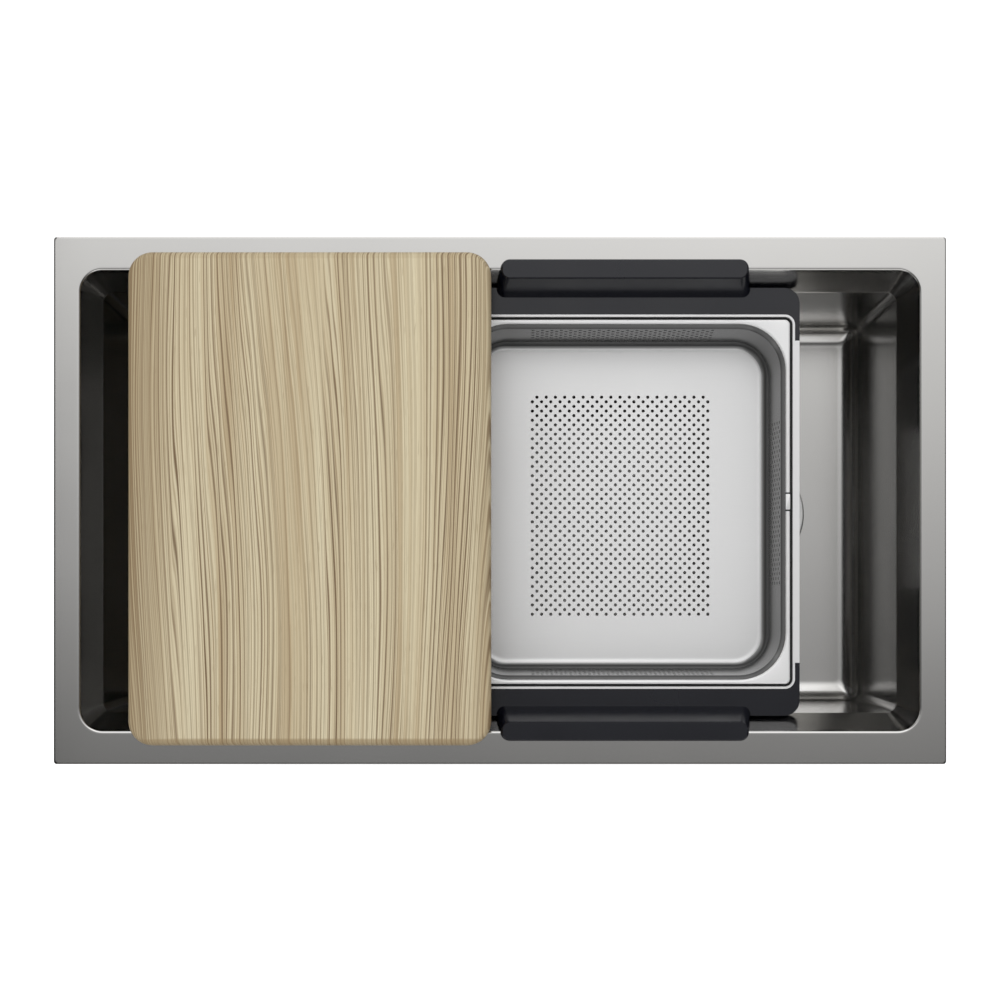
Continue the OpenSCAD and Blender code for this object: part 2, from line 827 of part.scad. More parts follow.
// Folded band between the caps' arms: its top is level with the lip and its edge turns down
module side_band() {
    half_l = cap_out - arm_l - slide_gap;
    band_out = cap_out_x - band_in;
    band_top = plate_drop - lip_h;
    translate([lip_out_x - eps, -half_l, -band_top - plate_t])
        cube([band_out - lip_out_x + eps, 2 * half_l, plate_t]);
    translate([band_out - plate_t, -half_l, -cap_bottom])
        cube([plate_t, 2 * half_l, cap_bottom - band_top]);
}

// Thin rounded slab used at each level of a grip bar
module bar_level(z, out, inner, length, r) {
    translate([0, (out + inner) / 2, z])
        linear_extrude(eps)
            round_rect(length, out - inner, r);
}

// Grip bar with leaning faces; its outer part reaches over the rim
module grip_bar() {
    end = bar_l + 2 * bar_draft;
    intersection() {
        hull($fn = 32) {
            bar_level(-cap_drop - eps, bar_out, bar_base_in, end, bar_r);
            bar_level(bar_h - bar_edge, bar_out, bar_in, bar_l, bar_r);
            bar_level(bar_h - eps, bar_out - bar_edge, bar_in + bar_edge,
                bar_l - 2 * bar_edge, bar_r - bar_edge);
        }
        rotate([90, 0, 90])
            translate([0, 0, -end])
                linear_extrude(2 * end)
                    polygon([
                        [bar_base_in - bar_clear, -cap_drop - 1], [cap_out - 1, -cap_drop - 1],
                        [open_d / 2 - bar_clear, -overhang_drop], [bar_out + 1, -overhang_drop],
                        [bar_out + 1, bar_h + 1], [bar_base_in - bar_clear, bar_h + 1]]);
    }
}

// Plan of a cap: the part of the carrier's outline behind the steel lip, with its two side arms
module cap_plan(inner_x, inner_y, inner_r) {
    intersection() {
        difference() {
            round_rect(2 * cap_out_x, 2 * cap_out, cap_r);
            round_rect(2 * inner_x, 2 * inner_y, inner_r);
        }
        translate([-cap_out_x, cap_out - arm_l]) square([2 * cap_out_x, arm_l]);
    }
}

module carrier_cap() {
    color("#2b2c2e") at_carrier() {
        translate([0, 0, -plate_drop + fixed_gap])
            linear_extrude(cap_t - fixed_gap)
                cap_plan(lip_out_x + fixed_gap, lip_out_y + fixed_gap, lip_r + fixed_gap);
        difference() {
            translate([0, 0, -cap_bottom])
                linear_extrude(skirt_h + 2 * fixed_gap)
                    cap_plan(cap_out_x - plate_edge + fixed_gap, cap_out - skirt_w, cap_r - plate_edge);
            translate([-cap_out_x, 0, 0])
                rotate([90, 0, 90])
                    linear_extrude(2 * cap_out_x)
                        polygon([
                            [cap_out + eps, chamfer_h - cap_bottom], [cap_out + 1, chamfer_h - cap_bottom],
                            [cap_out + 1, -cap_bottom - 1],
                            [cap_out - chamfer_in - ledge_in / ledge_drop, -cap_bottom - 1]]);
        }
        grip_bar();
        for (x = stud_places)
            translate([x, cap_out - stud_in, 0]) {
                translate([0, 0, -plate_drop - plate_t - 2 * fixed_gap])
                    cylinder(h = plate_t + 4 * fixed_gap, r = stud_r, $fn = hole_sides);
                translate([0, 0, -plate_drop - plate_t - fixed_gap - stud_head_h])
                    cylinder(h = stud_head_h, r = stud_head_r, $fn = hole_sides);
            }
    }
}

module carrier_cap_rear() {
    carrier_cap();
}

module carrier_cap_front() {
    mirror([0, 1, 0]) carrier_cap();
}

module glide_strips() {
    color("dimgray") at_carrier()
        for (x = [-1, 1], y = [-1, 1])
            translate([
                x * (bar_l / 2 - glide_l) - glide_l / 2,
                y * (open_d / 2 + bar_over / 2) - glide_w / 2,
                slide_gap]) cube([glide_l, glide_w, glide_t]);
}

// ---- Colander tray ----

function tray_rows() =
    let (
        edge = -tray_rim_w + tray_edge_r,
        neck = tray_r - neck_in)
    concat(
        [[-tray_rim_w, -(plate_drop - slide_gap), 180, tray_rim_r]],
        arc_rows(edge, -tray_top - tray_edge_r, tray_edge_r, 180, 90, tray_rim_r, tray_rim_r - tray_edge_r),
        arc_rows(-tray_bend, -tray_top - tray_bend, tray_bend, 90, neck_angle, tray_r + tray_bend, tray_r),
        [[neck_in, -tray_top - step_top, step_angle, neck],
            [neck_in + step_w, -tray_top - step_top - step_fall, step_angle, neck - step_w]],
        arc_rows(tray_floor_in, tray_fillet - tray_floor_drop, -tray_fillet, tray_wall_angle, 90,
            tray_r - tray_foot, tray_r - tray_floor_in));

// Staggered rows of holes; every other row has one hole fewer
module hole_field() {
    for (row = [0:hole_rows - 1], col = [0:hole_cols - 1 - (row % 2)])
        translate([
            hole_pitch * (col - (hole_cols - 1 - (row % 2)) / 2),
            hole_pitch / 2 * (row - (hole_rows - 1) / 2)])
            circle(hole_r, $fn = hole_sides);
}

// Flat part of the tray's floor, up to the fillet, with its holes
module tray_floor() {
    outline = ring(tray_half_x - tray_floor_in, tray_half_y - tray_floor_in, tray_r - tray_floor_in, 0);
    color("lightgray") at_carrier()
        translate([0, 0, -tray_floor_drop - tray_t])
            linear_extrude(tray_t)
                difference() {
                    polygon([for (p = outline) [p[0], p[1]]]);
                    hole_field();
                }
}

// Rim, step, walls and fillet of the tray
module colander_tray() {
    color("lightgray") at_carrier() {
        pressed_sheet(tray_half_x, tray_half_y, tray_rows(), tray_t, open = true);
        for (x = [-1, 1])
            translate([x * (tray_half_x + tray_rim_w - eps + tab_out / 2), 0,
                -tray_top - tray_edge_r - tab_h / 2])
                cube([tab_out + tray_edge_r / 2, tab_w, tab_h], center = true);
    }
}

rim();
bowl_floor();
bowl_front();
bowl_rear();
bowl_left();
bowl_right();
rim_seal();
clip_rail_front();
clip_rail_rear();
clip_rail_left();
clip_rail_right();
mounting_clips();
clip_screws();
sound_pad_front();
sound_pad_rear();
sound_pad_left();
sound_pad_right();
sound_pad_floor();
strainer_body();
flange_seal();
drain_gasket();
friction_ring();
lock_nut();
tailpiece();
tailpiece_washer();
tailpiece_nut();
basket_cup();
basket_knob();
basket_stopper();
basket_nut();
cutting_board();
board_pads();
carrier_frame();
carrier_cap_rear();
carrier_cap_front();
glide_strips();
colander_tray();
tray_floor();
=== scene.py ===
"""Workstation kitchen sink: the visual model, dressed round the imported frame.

The making functions work in millimetres, with heights counted from the top of the rim.
place() turns their points into metres in the part's frame.
"""
import json
import math

import bmesh
import bpy
from mathutils import Matrix, Vector
from mathutils.geometry import tessellate_polygon


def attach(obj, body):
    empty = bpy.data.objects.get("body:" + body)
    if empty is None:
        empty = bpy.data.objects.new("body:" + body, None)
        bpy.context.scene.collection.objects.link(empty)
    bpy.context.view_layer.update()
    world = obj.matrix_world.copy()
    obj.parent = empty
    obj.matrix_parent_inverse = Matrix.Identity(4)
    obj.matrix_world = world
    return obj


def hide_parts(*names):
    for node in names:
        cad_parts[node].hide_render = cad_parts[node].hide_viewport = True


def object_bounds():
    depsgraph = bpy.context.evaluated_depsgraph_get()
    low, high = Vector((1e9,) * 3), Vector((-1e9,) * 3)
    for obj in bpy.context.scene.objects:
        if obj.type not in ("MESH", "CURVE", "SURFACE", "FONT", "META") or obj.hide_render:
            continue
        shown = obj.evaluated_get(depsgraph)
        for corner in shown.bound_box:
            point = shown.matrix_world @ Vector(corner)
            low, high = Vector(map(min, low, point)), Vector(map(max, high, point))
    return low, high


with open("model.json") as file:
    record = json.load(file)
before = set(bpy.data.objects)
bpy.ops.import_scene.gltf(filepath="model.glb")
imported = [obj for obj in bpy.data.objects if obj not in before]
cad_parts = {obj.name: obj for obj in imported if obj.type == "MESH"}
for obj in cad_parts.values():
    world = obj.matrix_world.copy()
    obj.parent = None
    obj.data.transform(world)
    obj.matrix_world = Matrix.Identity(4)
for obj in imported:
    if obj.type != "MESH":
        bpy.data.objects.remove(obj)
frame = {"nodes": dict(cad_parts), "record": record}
cad_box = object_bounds()

MM = 0.001
RIM_TOP = 3.5  # height of the rim's top above the worktop

# ---- Sizes: the same as in the solids, except where a comment says otherwise.
# Drops, depths and tops count down from the rim's top; TONGUE_LOW is a height. ----
RIM_HALF = (419.1, 247.65)
RIM_R = 3.0
RIM_EDGE = 0.5
OPEN_HALF = (393.7, 215.9)
OPEN_R = 20.5
BEND_R = 2.5
SHEET_T = 1.5
BOWL_DEPTH = 228.6
LEDGE_IN = 15.9
LEDGE_DROP = 31.0
LIP_ROUND = 4.0
WALL_R = 10.0
WALL_DRAFT = 6.6
FLOOR_FILLET = 19.5
FLOOR_R = 4.0
DRAIN_X = 259.0
FLOOR_HOLE_R = 45.5

BOARD_X = -176.474
BOARD_HALF = (168.3, 228.8)
BOARD_T = 28.5
BOARD_LIFT = 1.55
BOARD_R = 22.5
BOARD_EDGE = 5.5
BOARD_CHAMFER = 2.0
TONGUE_HALF = (BOARD_HALF[0] - 12.0, 213.9)
TONGUE_R = OPEN_R + 2
TONGUE_LOW = -5.0

CARRIER_X = 117.0
TRAY_HALF = (153.7, 168.57)
TRAY_TOP = 18.0  # top of its rim
TRAY_DEPTH = 62.0
TRAY_T = 0.7  # 1.0 in the solids
TRAY_R = 44.0
TRAY_RIM_W = 4.0
TRAY_RIM_R = 5.0
TRAY_RIM_LOW = 21.8  # lower edge of its rim
TRAY_EDGE = 1.6
TRAY_BEND = 2.0
TRAY_LEAN = 5.5
TRAY_FILLET = 10.5
NECK_IN = 0.7
NECK_ANGLE = 6.0
STEP_TOP = 6.0
STEP_FALL = 1.8
STEP_W = 3.3
STEP_ANGLE = 35.0

HOLE_R = 1.62  # 1.4 in the solids, which have holes in the tray's floor alone
HOLE_PITCH = 9.0
FLOOR_ROWS = 48
FLOOR_COLUMNS = 20
FLOOR_HOLE_SIDES = 12
WALL_ROWS = 9
WALL_COLUMNS = (20, 18)  # front and rear, left and right
WALL_HOLE_SIDES = 8

CUP_R = 41.5
BODY_R = 44.5
OUTLET_R = 22.5
TAIL_R = 19.05
STEM_R = 3.0
BASKET_R = 36.0  # 37 in the solids
BASKET_T = 0.9  # 1.0 in the solids
BASKET_WALL = (-24.0, -3.0)  # heights of its holed part above the bowl's floor
BASKET_FLOOR = -28.97
BASKET_FOOT_R = 4.0
BASKET_HOLE_R = 2.0
BASKET_RINGS = ((8, 12.0), (14, 19.5), (20, 27.0))  # holes in a ring of its floor, and the ring's radius
BASKET_WALL_HOLES = (1.5, 4, 24, 10)  # radius, rows, columns and sides, in the scene alone

# ---- Mesh settings: lengths in mm, merging distances in metres, angles in degrees ----
CORNER_STEPS = 12
SUPPORT = 1.2
TURN_STEPS = 96
ON_AXIS = 1e-6  # a smaller radius is a point on the axis
SMOOTH_ANGLE = 35.0
FLAT_ANGLE = 1.0
EDGE_ANGLE = 30.0
MERGE_COPY = 1e-6
MERGE_TRAY = 2e-6
MERGE_BASKET = 5e-6


# ---- Mesh making ----
def place(points, centre_x=0.0):
    """Points in mm from the rim's top, as metres in the row's frame."""
    return [((x + centre_x) * MM, y * MM, (z + RIM_TOP) * MM) for x, y, z in points]


def new_piece(name, points, faces):
    """Mesh object with its place in its mesh."""
    mesh = bpy.data.meshes.new(name)
    mesh.from_pydata(points, [], faces)
    mesh.validate()
    obj = bpy.data.objects.new(name, mesh)
    bpy.context.scene.collection.objects.link(obj)
    shade(obj)
    return obj


def piece_from(bm, name):
    """Object that takes over a bmesh."""
    mesh = bpy.data.meshes.new(name)
    bm.to_mesh(mesh)
    bm.free()
    obj = bpy.data.objects.new(name, mesh)
    bpy.context.scene.collection.objects.link(obj)
    return obj


def shade(obj):
    """Smooth shading; edges sharper than SMOOTH_ANGLE stay crisp."""
    mesh = obj.data
    mesh.polygons.foreach_set("use_smooth", [True] * len(mesh.polygons))
    mesh.set_sharp_from_angle(angle=math.radians(SMOOTH_ANGLE))
    mesh.update()


def ring(half_w, half_d, r, z, steps=CORNER_STEPS, support=SUPPORT):
    """Outline of a rounded rectangle, anticlockwise, with a point just before and after each corner."""
    points = []
    for sx, sy, start in ((1, 1, 0), (-1, 1, 90), (-1, -1, 180), (1, -1, 270)):
        cx, cy = sx * (half_w - r), sy * (half_d - r)
        arc = [math.radians(start + 90 * i / steps) for i in range(steps + 1)]
        corner = [(cx + r * math.cos(a), cy + r * math.sin(a)) for a in arc]
        go = (-math.sin(arc[0]), math.cos(arc[0]))
        out = (-math.sin(arc[-1]), math.cos(arc[-1]))
        before = (corner[0][0] - support * go[0], corner[0][1] - support * go[1])
        after = (corner[-1][0] + support * out[0], corner[-1][1] + support * out[1])
        points += [(x, y, z) for x, y in [before] + corner + [after]]
    return points


def loft(rings, closed=False, cap_first=False, cap_last=False):
    """Points and faces between rings of equal length; caps are flat faces."""
    n = len(rings[0])
    points = [p for r in rings for p in r]
    spans = len(rings) if closed else len(rings) - 1
    faces = []
    for j in range(spans):
        low, high = j * n, (j + 1) % len(rings) * n
        for i in range(n):
            k = (i + 1) % n
            faces.append((low + i, low + k, high + k, high + i))
    if cap_first:
        faces.append(tuple(range(n - 1, -1, -1)))
    if cap_last:
        last = (len(rings) - 1) * n
        faces.append(tuple(range(last, last + n)))
    return points, faces


def arc_rows(inset, height, radius, start, end, r_start, r_end, steps=8):
    """Profile rows (inset, height, normal angle, corner radius) along an arc."""
    rows = []
    for i in range(steps + 1):
        k = i / steps
        a = start + (end - start) * k
        rows.append((inset + radius * math.cos(math.radians(a)), height + radius * math.sin(math.radians(a)),
                     a, r_start + (r_end - r_start) * k))
    return rows


def with_supports(rows):
    """Rows with two more on each long straight, close to its ends, so that flats shade flat."""
    out = [rows[0]]
    for a, b in zip(rows, rows[1:]):
        length = math.hypot(b[0] - a[0], b[1] - a[1])
        if length > 4 * SUPPORT:
            for k in (SUPPORT / length, 1 - SUPPORT / length):
                out.append(tuple(a[i] + (b[i] - a[i]) * k for i in range(4)))
        out.append(b)
    return out


def row_ring(half, row, t):
    """The ring of a profile row, moved back through the sheet by t."""
    inset, height, angle, r = row
    c, s = math.cos(math.radians(angle)), math.sin(math.radians(angle))
    inset -= t * c
    return ring(half[0] - inset, half[1] - inset, r + t * c, height - t * s)


def holed_face(outer, holes, up):
    """Triangles of the flat face between an outline and the holes in it, as indices into all their points."""
    loops = [[Vector(p) for p in loop] for loop in [outer] + holes]
    points = [p for loop in [outer] + holes for p in loop]
    faces = []
    for a, b, c in tessellate_polygon(loops):
        pa, pb, pc = points[a], points[b], points[c]
        cross = (pb[0] - pa[0]) * (pc[1] - pa[1]) - (pb[1] - pa[1]) * (pc[0] - pa[0])
        faces.append((a, b, c) if (cross > 0) == up else (a, c, b))
    return faces


def circle(x, y, r, z, steps=TURN_STEPS):
    return [(x + r * math.cos(2 * math.pi * i / steps), y + r * math.sin(2 * math.pi * i / steps), z)
            for i in range(steps)]


def apply_modifiers(obj):
    """Turns an object's modifiers into its plain mesh."""
    depsgraph = bpy.context.evaluated_depsgraph_get()
    mesh = bpy.data.meshes.new_from_object(obj.evaluated_get(depsgraph))
    old = obj.data
    obj.modifiers.clear()
    obj.data = mesh
    bpy.data.meshes.remove(old)
    mesh.name = obj.name


def thicken(obj, thickness):
    """Gives a sheet its thickness, behind its faces."""
    sheet = obj.modifiers.new("sheet", "SOLIDIFY")
    sheet.thickness = thickness * MM
    sheet.offset = -1
    apply_modifiers(obj)
    shade(obj)


def lathe(name, profile, x, steps):
    """Turned solid about a vertical axis at x. The profile is (radius, height), round it once."""
    points, faces, rows = [], [], []
    for r, z in profile:
        if r < ON_AXIS:
            rows.append([len(points)])
            points.append((0.0, 0.0, z))
        else:
            rows.append(list(range(len(points), len(points) + steps)))
            points += circle(0, 0, r, z, steps)
    for a, b in zip(rows, rows[1:] + rows[:1]):
        for i in range(steps):
            k = (i + 1) % steps
            if len(a) > 1 and len(b) > 1:
                faces.append((a[i], a[k], b[k], b[i]))
            elif len(a) > 1:
                faces.append((a[i], a[k], b[0]))
            elif len(b) > 1:
                faces.append((a[0], b[k], b[i]))
    return new_piece(name, place(points, x), faces)


def dressed_copy(name, node, bevel=0.4, segments=2):
    """Copy of a CAD node with its edges rounded."""
    bm = bmesh.new()
    bm.from_mesh(frame["nodes"][node].data)
    bmesh.ops.remove_doubles(bm, verts=bm.verts, dist=MERGE_COPY)
    bmesh.ops.dissolve_limit(bm, angle_limit=math.radians(FLAT_ANGLE), verts=bm.verts, edges=bm.edges)
    obj = piece_from(bm, name)
    rounding = obj.modifiers.new("rounding", "BEVEL")
    rounding.width = bevel * MM
    rounding.segments = segments
    rounding.limit_method = "ANGLE"
    rounding.angle_limit = math.radians(EDGE_ANGLE)
    rounding.miter_outer = "MITER_ARC"
    apply_modifiers(obj)
    shade(obj)
    flats = obj.modifiers.new("flats", "WEIGHTED_NORMAL")
    flats.keep_sharp = True
    flats.weight = 100
    apply_modifiers(obj)
    return obj


def finish_piece(obj, body, slot, *nodes, finish=None):
    """Gives a piece its finish, the slot's unless another is named, and its body, and hides the CAD nodes
    that it stands for.
    """
    obj.data.materials.clear()
    obj.data.materials.append(FINISH[finish or slot])
    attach(obj, body)
    if nodes:
        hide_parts(*nodes)


# ---- Finishes: procedural, on Object coordinates in metres ----
def set_stops(band, stops):
    """Sets a colour ramp's stops: (place, colour), in rising order."""
    while len(band.elements) < len(stops):
        band.elements.new(0.5)
    for element, (at, colour) in zip(band.elements, stops):
        element.position = at
        element.color = (*colour, 1.0)


class Finish:
    """A material under construction. Every value may be a socket, a number or a tuple."""

    def __init__(self, name):
        self.material = bpy.data.materials.new(name)
        self.material.use_nodes = True
        self.tree = self.material.node_tree
        self.bsdf = self.tree.nodes["Principled BSDF"]
        self.object = self.add("ShaderNodeTexCoord").outputs["Object"]

    def put(self, socket, value):
        """Links or sets a socket; a colour of three gets its alpha."""
        if isinstance(value, bpy.types.NodeSocket):
            self.tree.links.new(value, socket)
        elif socket.type == "RGBA" and len(value) == 3:
            socket.default_value = (*value, 1.0)
        else:
            socket.default_value = value

    def add(self, kind, inputs=None, **settings):
        node = self.tree.nodes.new(kind)
        for key, value in settings.items():
            setattr(node, key, value)
        for key, value in (inputs or {}).items():
            self.put(node.inputs[key], value)
        return node

    def stretched(self, scale, centre=(0, 0, 0)):
        """Object coordinates, stretched by scale."""
        mapping = self.add("ShaderNodeMapping", {"Vector": self.object, "Scale": scale, "Location": centre})
        return mapping.outputs["Vector"]

    def noise(self, vector, scale=1.0, detail=3.0, roughness=0.5):
        return self.add("ShaderNodeTexNoise", {"Vector": vector, "Scale": scale, "Detail": detail,
                                               "Roughness": roughness}).outputs["Fac"]

    def span(self, value, low, high, to_low, to_high):
        """value, taken from low..high to to_low..to_high."""
        return self.add("ShaderNodeMapRange", {"Value": value, "From Min": low, "From Max": high,
                                               "To Min": to_low, "To Max": to_high}).outputs["Result"]

    def swing(self, noise, to_low, to_high, reach=0.2):
        """A noise's values within reach of its middle, taken to to_low..to_high."""
        return self.span(noise, 0.5 - reach, 0.5 + reach, to_low, to_high)

    def mix(self, factor, a, b, blend="MIX"):
        node = self.add("ShaderNodeMix", {"Factor": factor}, data_type="RGBA", blend_type=blend)
        self.put(node.inputs[6], a)
        self.put(node.inputs[7], b)
        return node.outputs[2]

    def math(self, operation, a, b=0.0):
        node = self.add("ShaderNodeMath", operation=operation)
        for socket, value in zip(node.inputs, (a, b)):
            self.put(socket, value)
        return node.outputs[0]

    def ramp(self, value, stops):
        node = self.add("ShaderNodeValToRGB", {"Fac": value})
        set_stops(node.color_ramp, stops)
        return node.outputs["Color"]

    def bump(self, height, distance, strength=1.0, after=None):
        inputs = {"Height": height, "Distance": distance, "Strength": strength}
        if after is not None:
            inputs["Normal"] = after
        return self.add("ShaderNodeBump", inputs).outputs["Normal"]

    def to(self, name, value):
        """Gives the shader's own socket a value."""
        self.put(self.bsdf.inputs[name], value)


STEEL_CLOUDS = (9.0, 9.0, 9.0)
STEEL_CLOUDING = 0.015  # change of roughness from cloud to cloud
MOULD_CLOUDS = 14.0
MOULD_CLOUDING = 0.04
MOULD_TONE = 0.12


def steel(name, colour, roughness, brush=(18.0, 900.0, 900.0), brush_depth=2e-6, spread=0.04, metal=1.0,
          streak=0.012, walls=None, inside=None):
    """Brushed or satin steel: fine lines along X, uneven roughness and a slight change of tone.

    walls gives a pressed pan's walls a smoother finish and a darker tone by height, which is painted shade:
    (roughness, low, high, tones). inside gives a bowl another roughness below a height:
    (height, fade, roughness).
    """
    f = Finish(name)
    lines = f.noise(f.stretched(brush), 1.0, 4.0, 0.6)
    cloud = f.noise(f.stretched(STEEL_CLOUDS), 1.0, 2.0)
    tone = f.mix(f.swing(lines, 0.0, 1.0), tuple(c * (1 - streak) for c in colour), colour)
    rough = f.math("ADD", f.swing(lines, roughness - spread, roughness + spread, 0.25),
                   f.swing(cloud, -STEEL_CLOUDING, STEEL_CLOUDING))
    height = f.add("ShaderNodeSeparateXYZ", {"Vector": f.object}).outputs["Z"]
    if inside is not None:
        level, fade, inner_roughness = inside
        change = f.span(height, level, level - fade, 0.0, inner_roughness - roughness)
        rough = f.math("ADD", rough, change)
    # Painted shade: the pan's walls get a darker tone by height, and a smoother roughness where it is dark
    if walls is not None:
        wall_roughness, low, high, tones = walls
        painted_wall_shade = f.ramp(f.span(height, low, high, 0.0, 1.0),
                       tuple(((at - low) / (high - low), (level,) * 3) for at, level in tones))
        tone = f.mix(1.0, tone, painted_wall_shade, "MULTIPLY")
        paleness = f.add("ShaderNodeRGBToBW", {"Color": painted_wall_shade}).outputs["Val"]
        rough = f.span(paleness, 0.4, 1.0, wall_roughness, rough)
    f.to("Base Color", tone)
    f.to("Metallic", metal)
    f.to("Roughness", rough)
    f.to("Normal", f.bump(lines, brush_depth))
    return f.material


def moulded(name, colour, roughness, grain=1400.0, depth=6e-6, gloss=0.5):
    """Moulded plastic or rubber: a fine grain in the surface and a faint change of tone."""
    f = Finish(name)
    grain_noise = f.noise(f.object, grain, 2.0, 0.6)
    cloud = f.noise(f.object, MOULD_CLOUDS, 3.0, 0.55)
    f.to("Base Color", f.mix(f.swing(cloud, 0.0, 1.0), tuple(c * (1 - MOULD_TONE) for c in colour),
                             tuple(min(1.0, c * (1 + MOULD_TONE)) for c in colour)))
    f.to("Roughness", f.swing(cloud, roughness - MOULD_CLOUDING, roughness + MOULD_CLOUDING))
    f.to("Specular IOR Level", gloss)
    f.to("Normal", f.bump(grain_noise, depth))
    return f.material


# Wood: growth in rings, places along X or Y in metres
GROWTH_RATE = 235.0  # rings per metre across the board
GROWTH_TILT = 0.55
GROWTH_DRIFT = 11.0
GROWTH_WAVER = 1.3
LINE_PLACE = (0.4, 0.75)  # where the dark line lies in a ring
LINE_CORE = 0.25  # share of a line that is at full strength
OTHER_YEARS = 37.5  # offset to a second random number for each ring
STRONG_RINGS = (0.9, 0.0, 0.2, 0.4, 1.0)
FINE_RINGS = (2.3, 11.3, 0.3, 0.1, 0.9)
DENSE_RINGS = (1.6, 4.7, 0.36, 0.35, 1.0)
DENSE_GAIN = 1.3
# Edges of the board: from and to, and the share of the edge's tone at each. The darker edge tone is partly
# end grain and denser grain, partly painted shade
LEFT_EDGE = (-0.345, -0.3, 1.0, 0.0)
RIGHT_EDGE = (-0.026, -0.01, 0.0, 0.55)
REAR_EDGE = (0.2218, 0.2235, 0.0, 0.18)
FRONT_EDGE = (-0.2235, -0.2215, 0.65, 0.0)
WOOD_BANDS = ((0.0, (0.74, 0.67, 0.475)), (0.35, (0.665, 0.58, 0.395)), (0.65, (0.58, 0.485, 0.315)),
              (0.85, (0.47, 0.365, 0.22)), (1.0, (0.39, 0.285, 0.16)))
PALE_WOOD = (0.68, 0.62, 0.43)
FINE_LINE = (0.26, 0.175, 0.095)
STRONG_LINE = (0.115, 0.062, 0.026)
DENSE_LINE = (0.13, 0.078, 0.036)
FIBRE = (0.30, 0.225, 0.12)
PORE = (0.24, 0.17, 0.09)
STAIN = (0.40, 0.30, 0.18)
# Tone of the board's edges: partly end grain, partly painted shade
EDGE_GRAIN_AND_SHADE = (0.27, 0.19, 0.095)


def oiled_ash():
    """Pale ash, its grain along Y: growth rings that drift and meet, fibres, pores, a dry oil finish, and
    darker edges that are partly end grain and partly painted shade.
    """
    f = Finish("oiled_ash")
    parts = f.add("ShaderNodeSeparateXYZ", {"Vector": f.object}).outputs
    across = f.math("ADD", parts["X"], f.math("MULTIPLY", parts["Z"], GROWTH_TILT))
    slow = f.noise(f.stretched((4.0, 1.2, 4.0)), 1.0, 1.0)
    quick = f.noise(f.stretched((45.0, 1.6, 45.0)), 1.0, 2.0)
    wander = f.math("ADD", f.span(slow, 0.0, 1.0, -GROWTH_DRIFT, GROWTH_DRIFT),
                    f.span(quick, 0.0, 1.0, -GROWTH_WAVER, GROWTH_WAVER))
    growth = f.math("ADD", f.math("MULTIPLY", across, GROWTH_RATE), wander)
    calm = f.noise(f.stretched((22.0, 0.7, 22.0), (3.0, 0, 0)), 1.0, 2.0)
    quiet = f.span(calm, 0.38, 0.55, 0.3, 1.0)
    sides = f.math("MAXIMUM", f.span(parts["X"], *LEFT_EDGE), f.span(parts["X"], *RIGHT_EDGE))
    quiet = f.math("MAXIMUM", quiet, sides)

    def chance(number):
        return f.add("ShaderNodeTexWhiteNoise", {"W": number}, noise_dimensions="1D").outputs["Value"]

    def rings(rate, start, half_width, weakest, strongest):
        """Thin dark late-wood lines, a random number for each ring, and the place within the ring."""
        count = f.math("ADD", f.math("MULTIPLY", growth, rate), start)
        year = f.math("FLOOR", count)
        part = f.math("FRACT", count)
        one = chance(year)
        two = chance(f.math("ADD", year, OTHER_YEARS))
        off = f.math("ABSOLUTE", f.math("SUBTRACT", part, f.span(one, 0.0, 1.0, *LINE_PLACE)))
        line = f.span(off, LINE_CORE * half_width, half_width, 1.0, 0.0)
        return f.math("MULTIPLY", line, f.span(two, 0.0, 1.0, weakest, strongest)), one, part

    strong, early, part = rings(*STRONG_RINGS)
    fine, fine_tone, _ = rings(*FINE_RINGS)
    dense, _, _ = rings(*DENSE_RINGS)
    strong = f.math("MULTIPLY", strong, quiet)
    fine = f.math("MULTIPLY", fine, f.span(quiet, 0.3, 1.0, 0.3, 1.0))
    drift = f.noise(f.stretched((38.0, 0.8, 38.0), (0, 0, 5.0)), 1.0, 2.0)
    band = f.math("ADD", f.math("MULTIPLY", early, 0.4), f.swing(drift, 0.0, 0.6))
    tone = f.ramp(band, WOOD_BANDS)
    tone = f.mix(f.math("MULTIPLY", fine_tone, 0.25), tone, PALE_WOOD)
    tone = f.mix(fine, tone, FINE_LINE)
    tone = f.mix(strong, tone, STRONG_LINE)
    tone = f.mix(f.math("MULTIPLY", dense, f.math("MULTIPLY", sides, DENSE_GAIN)), tone, DENSE_LINE)
    fibre = f.noise(f.stretched((1100.0, 26.0, 1100.0)), 1.0, 3.0, 0.65)
    tone = f.mix(f.span(fibre, 0.3, 0.75, 0.0, 0.22), tone, FIBRE)
    pits = f.noise(f.stretched((800.0, 55.0, 800.0)), 1.0, 1.0)
    pore = f.math("MULTIPLY", f.span(pits, 0.62, 0.72, 0.0, 1.0), f.span(part, 0.35, 0.8, 0.25, 1.0))
    tone = f.mix(f.math("MULTIPLY", pore, 0.3), tone, PORE)
    stain = f.noise(f.stretched((7.0, 2.0, 7.0)), 1.0, 2.0)
    tone = f.mix(f.swing(stain, 0.0, 0.16, 0.15), tone, STAIN)
    # Darker ends and sides: partly end grain and denser grain, partly painted shade
    ends = f.math("MAXIMUM", f.span(parts["Y"], *REAR_EDGE), f.span(parts["Y"], *FRONT_EDGE))
    tone = f.mix(f.math("MAXIMUM", ends, f.math("MULTIPLY", sides, 0.5)), tone, EDGE_GRAIN_AND_SHADE)
    f.to("Base Color", tone)
    f.to("Roughness", f.swing(fibre, 0.46, 0.58))
    grooves = f.bump(f.math("SUBTRACT", f.math("MULTIPLY", fibre, 0.6), pore), 2.5e-5, 0.7)
    f.to("Normal", f.bump(strong, 4e-5, 0.5, grooves))
    return f.material


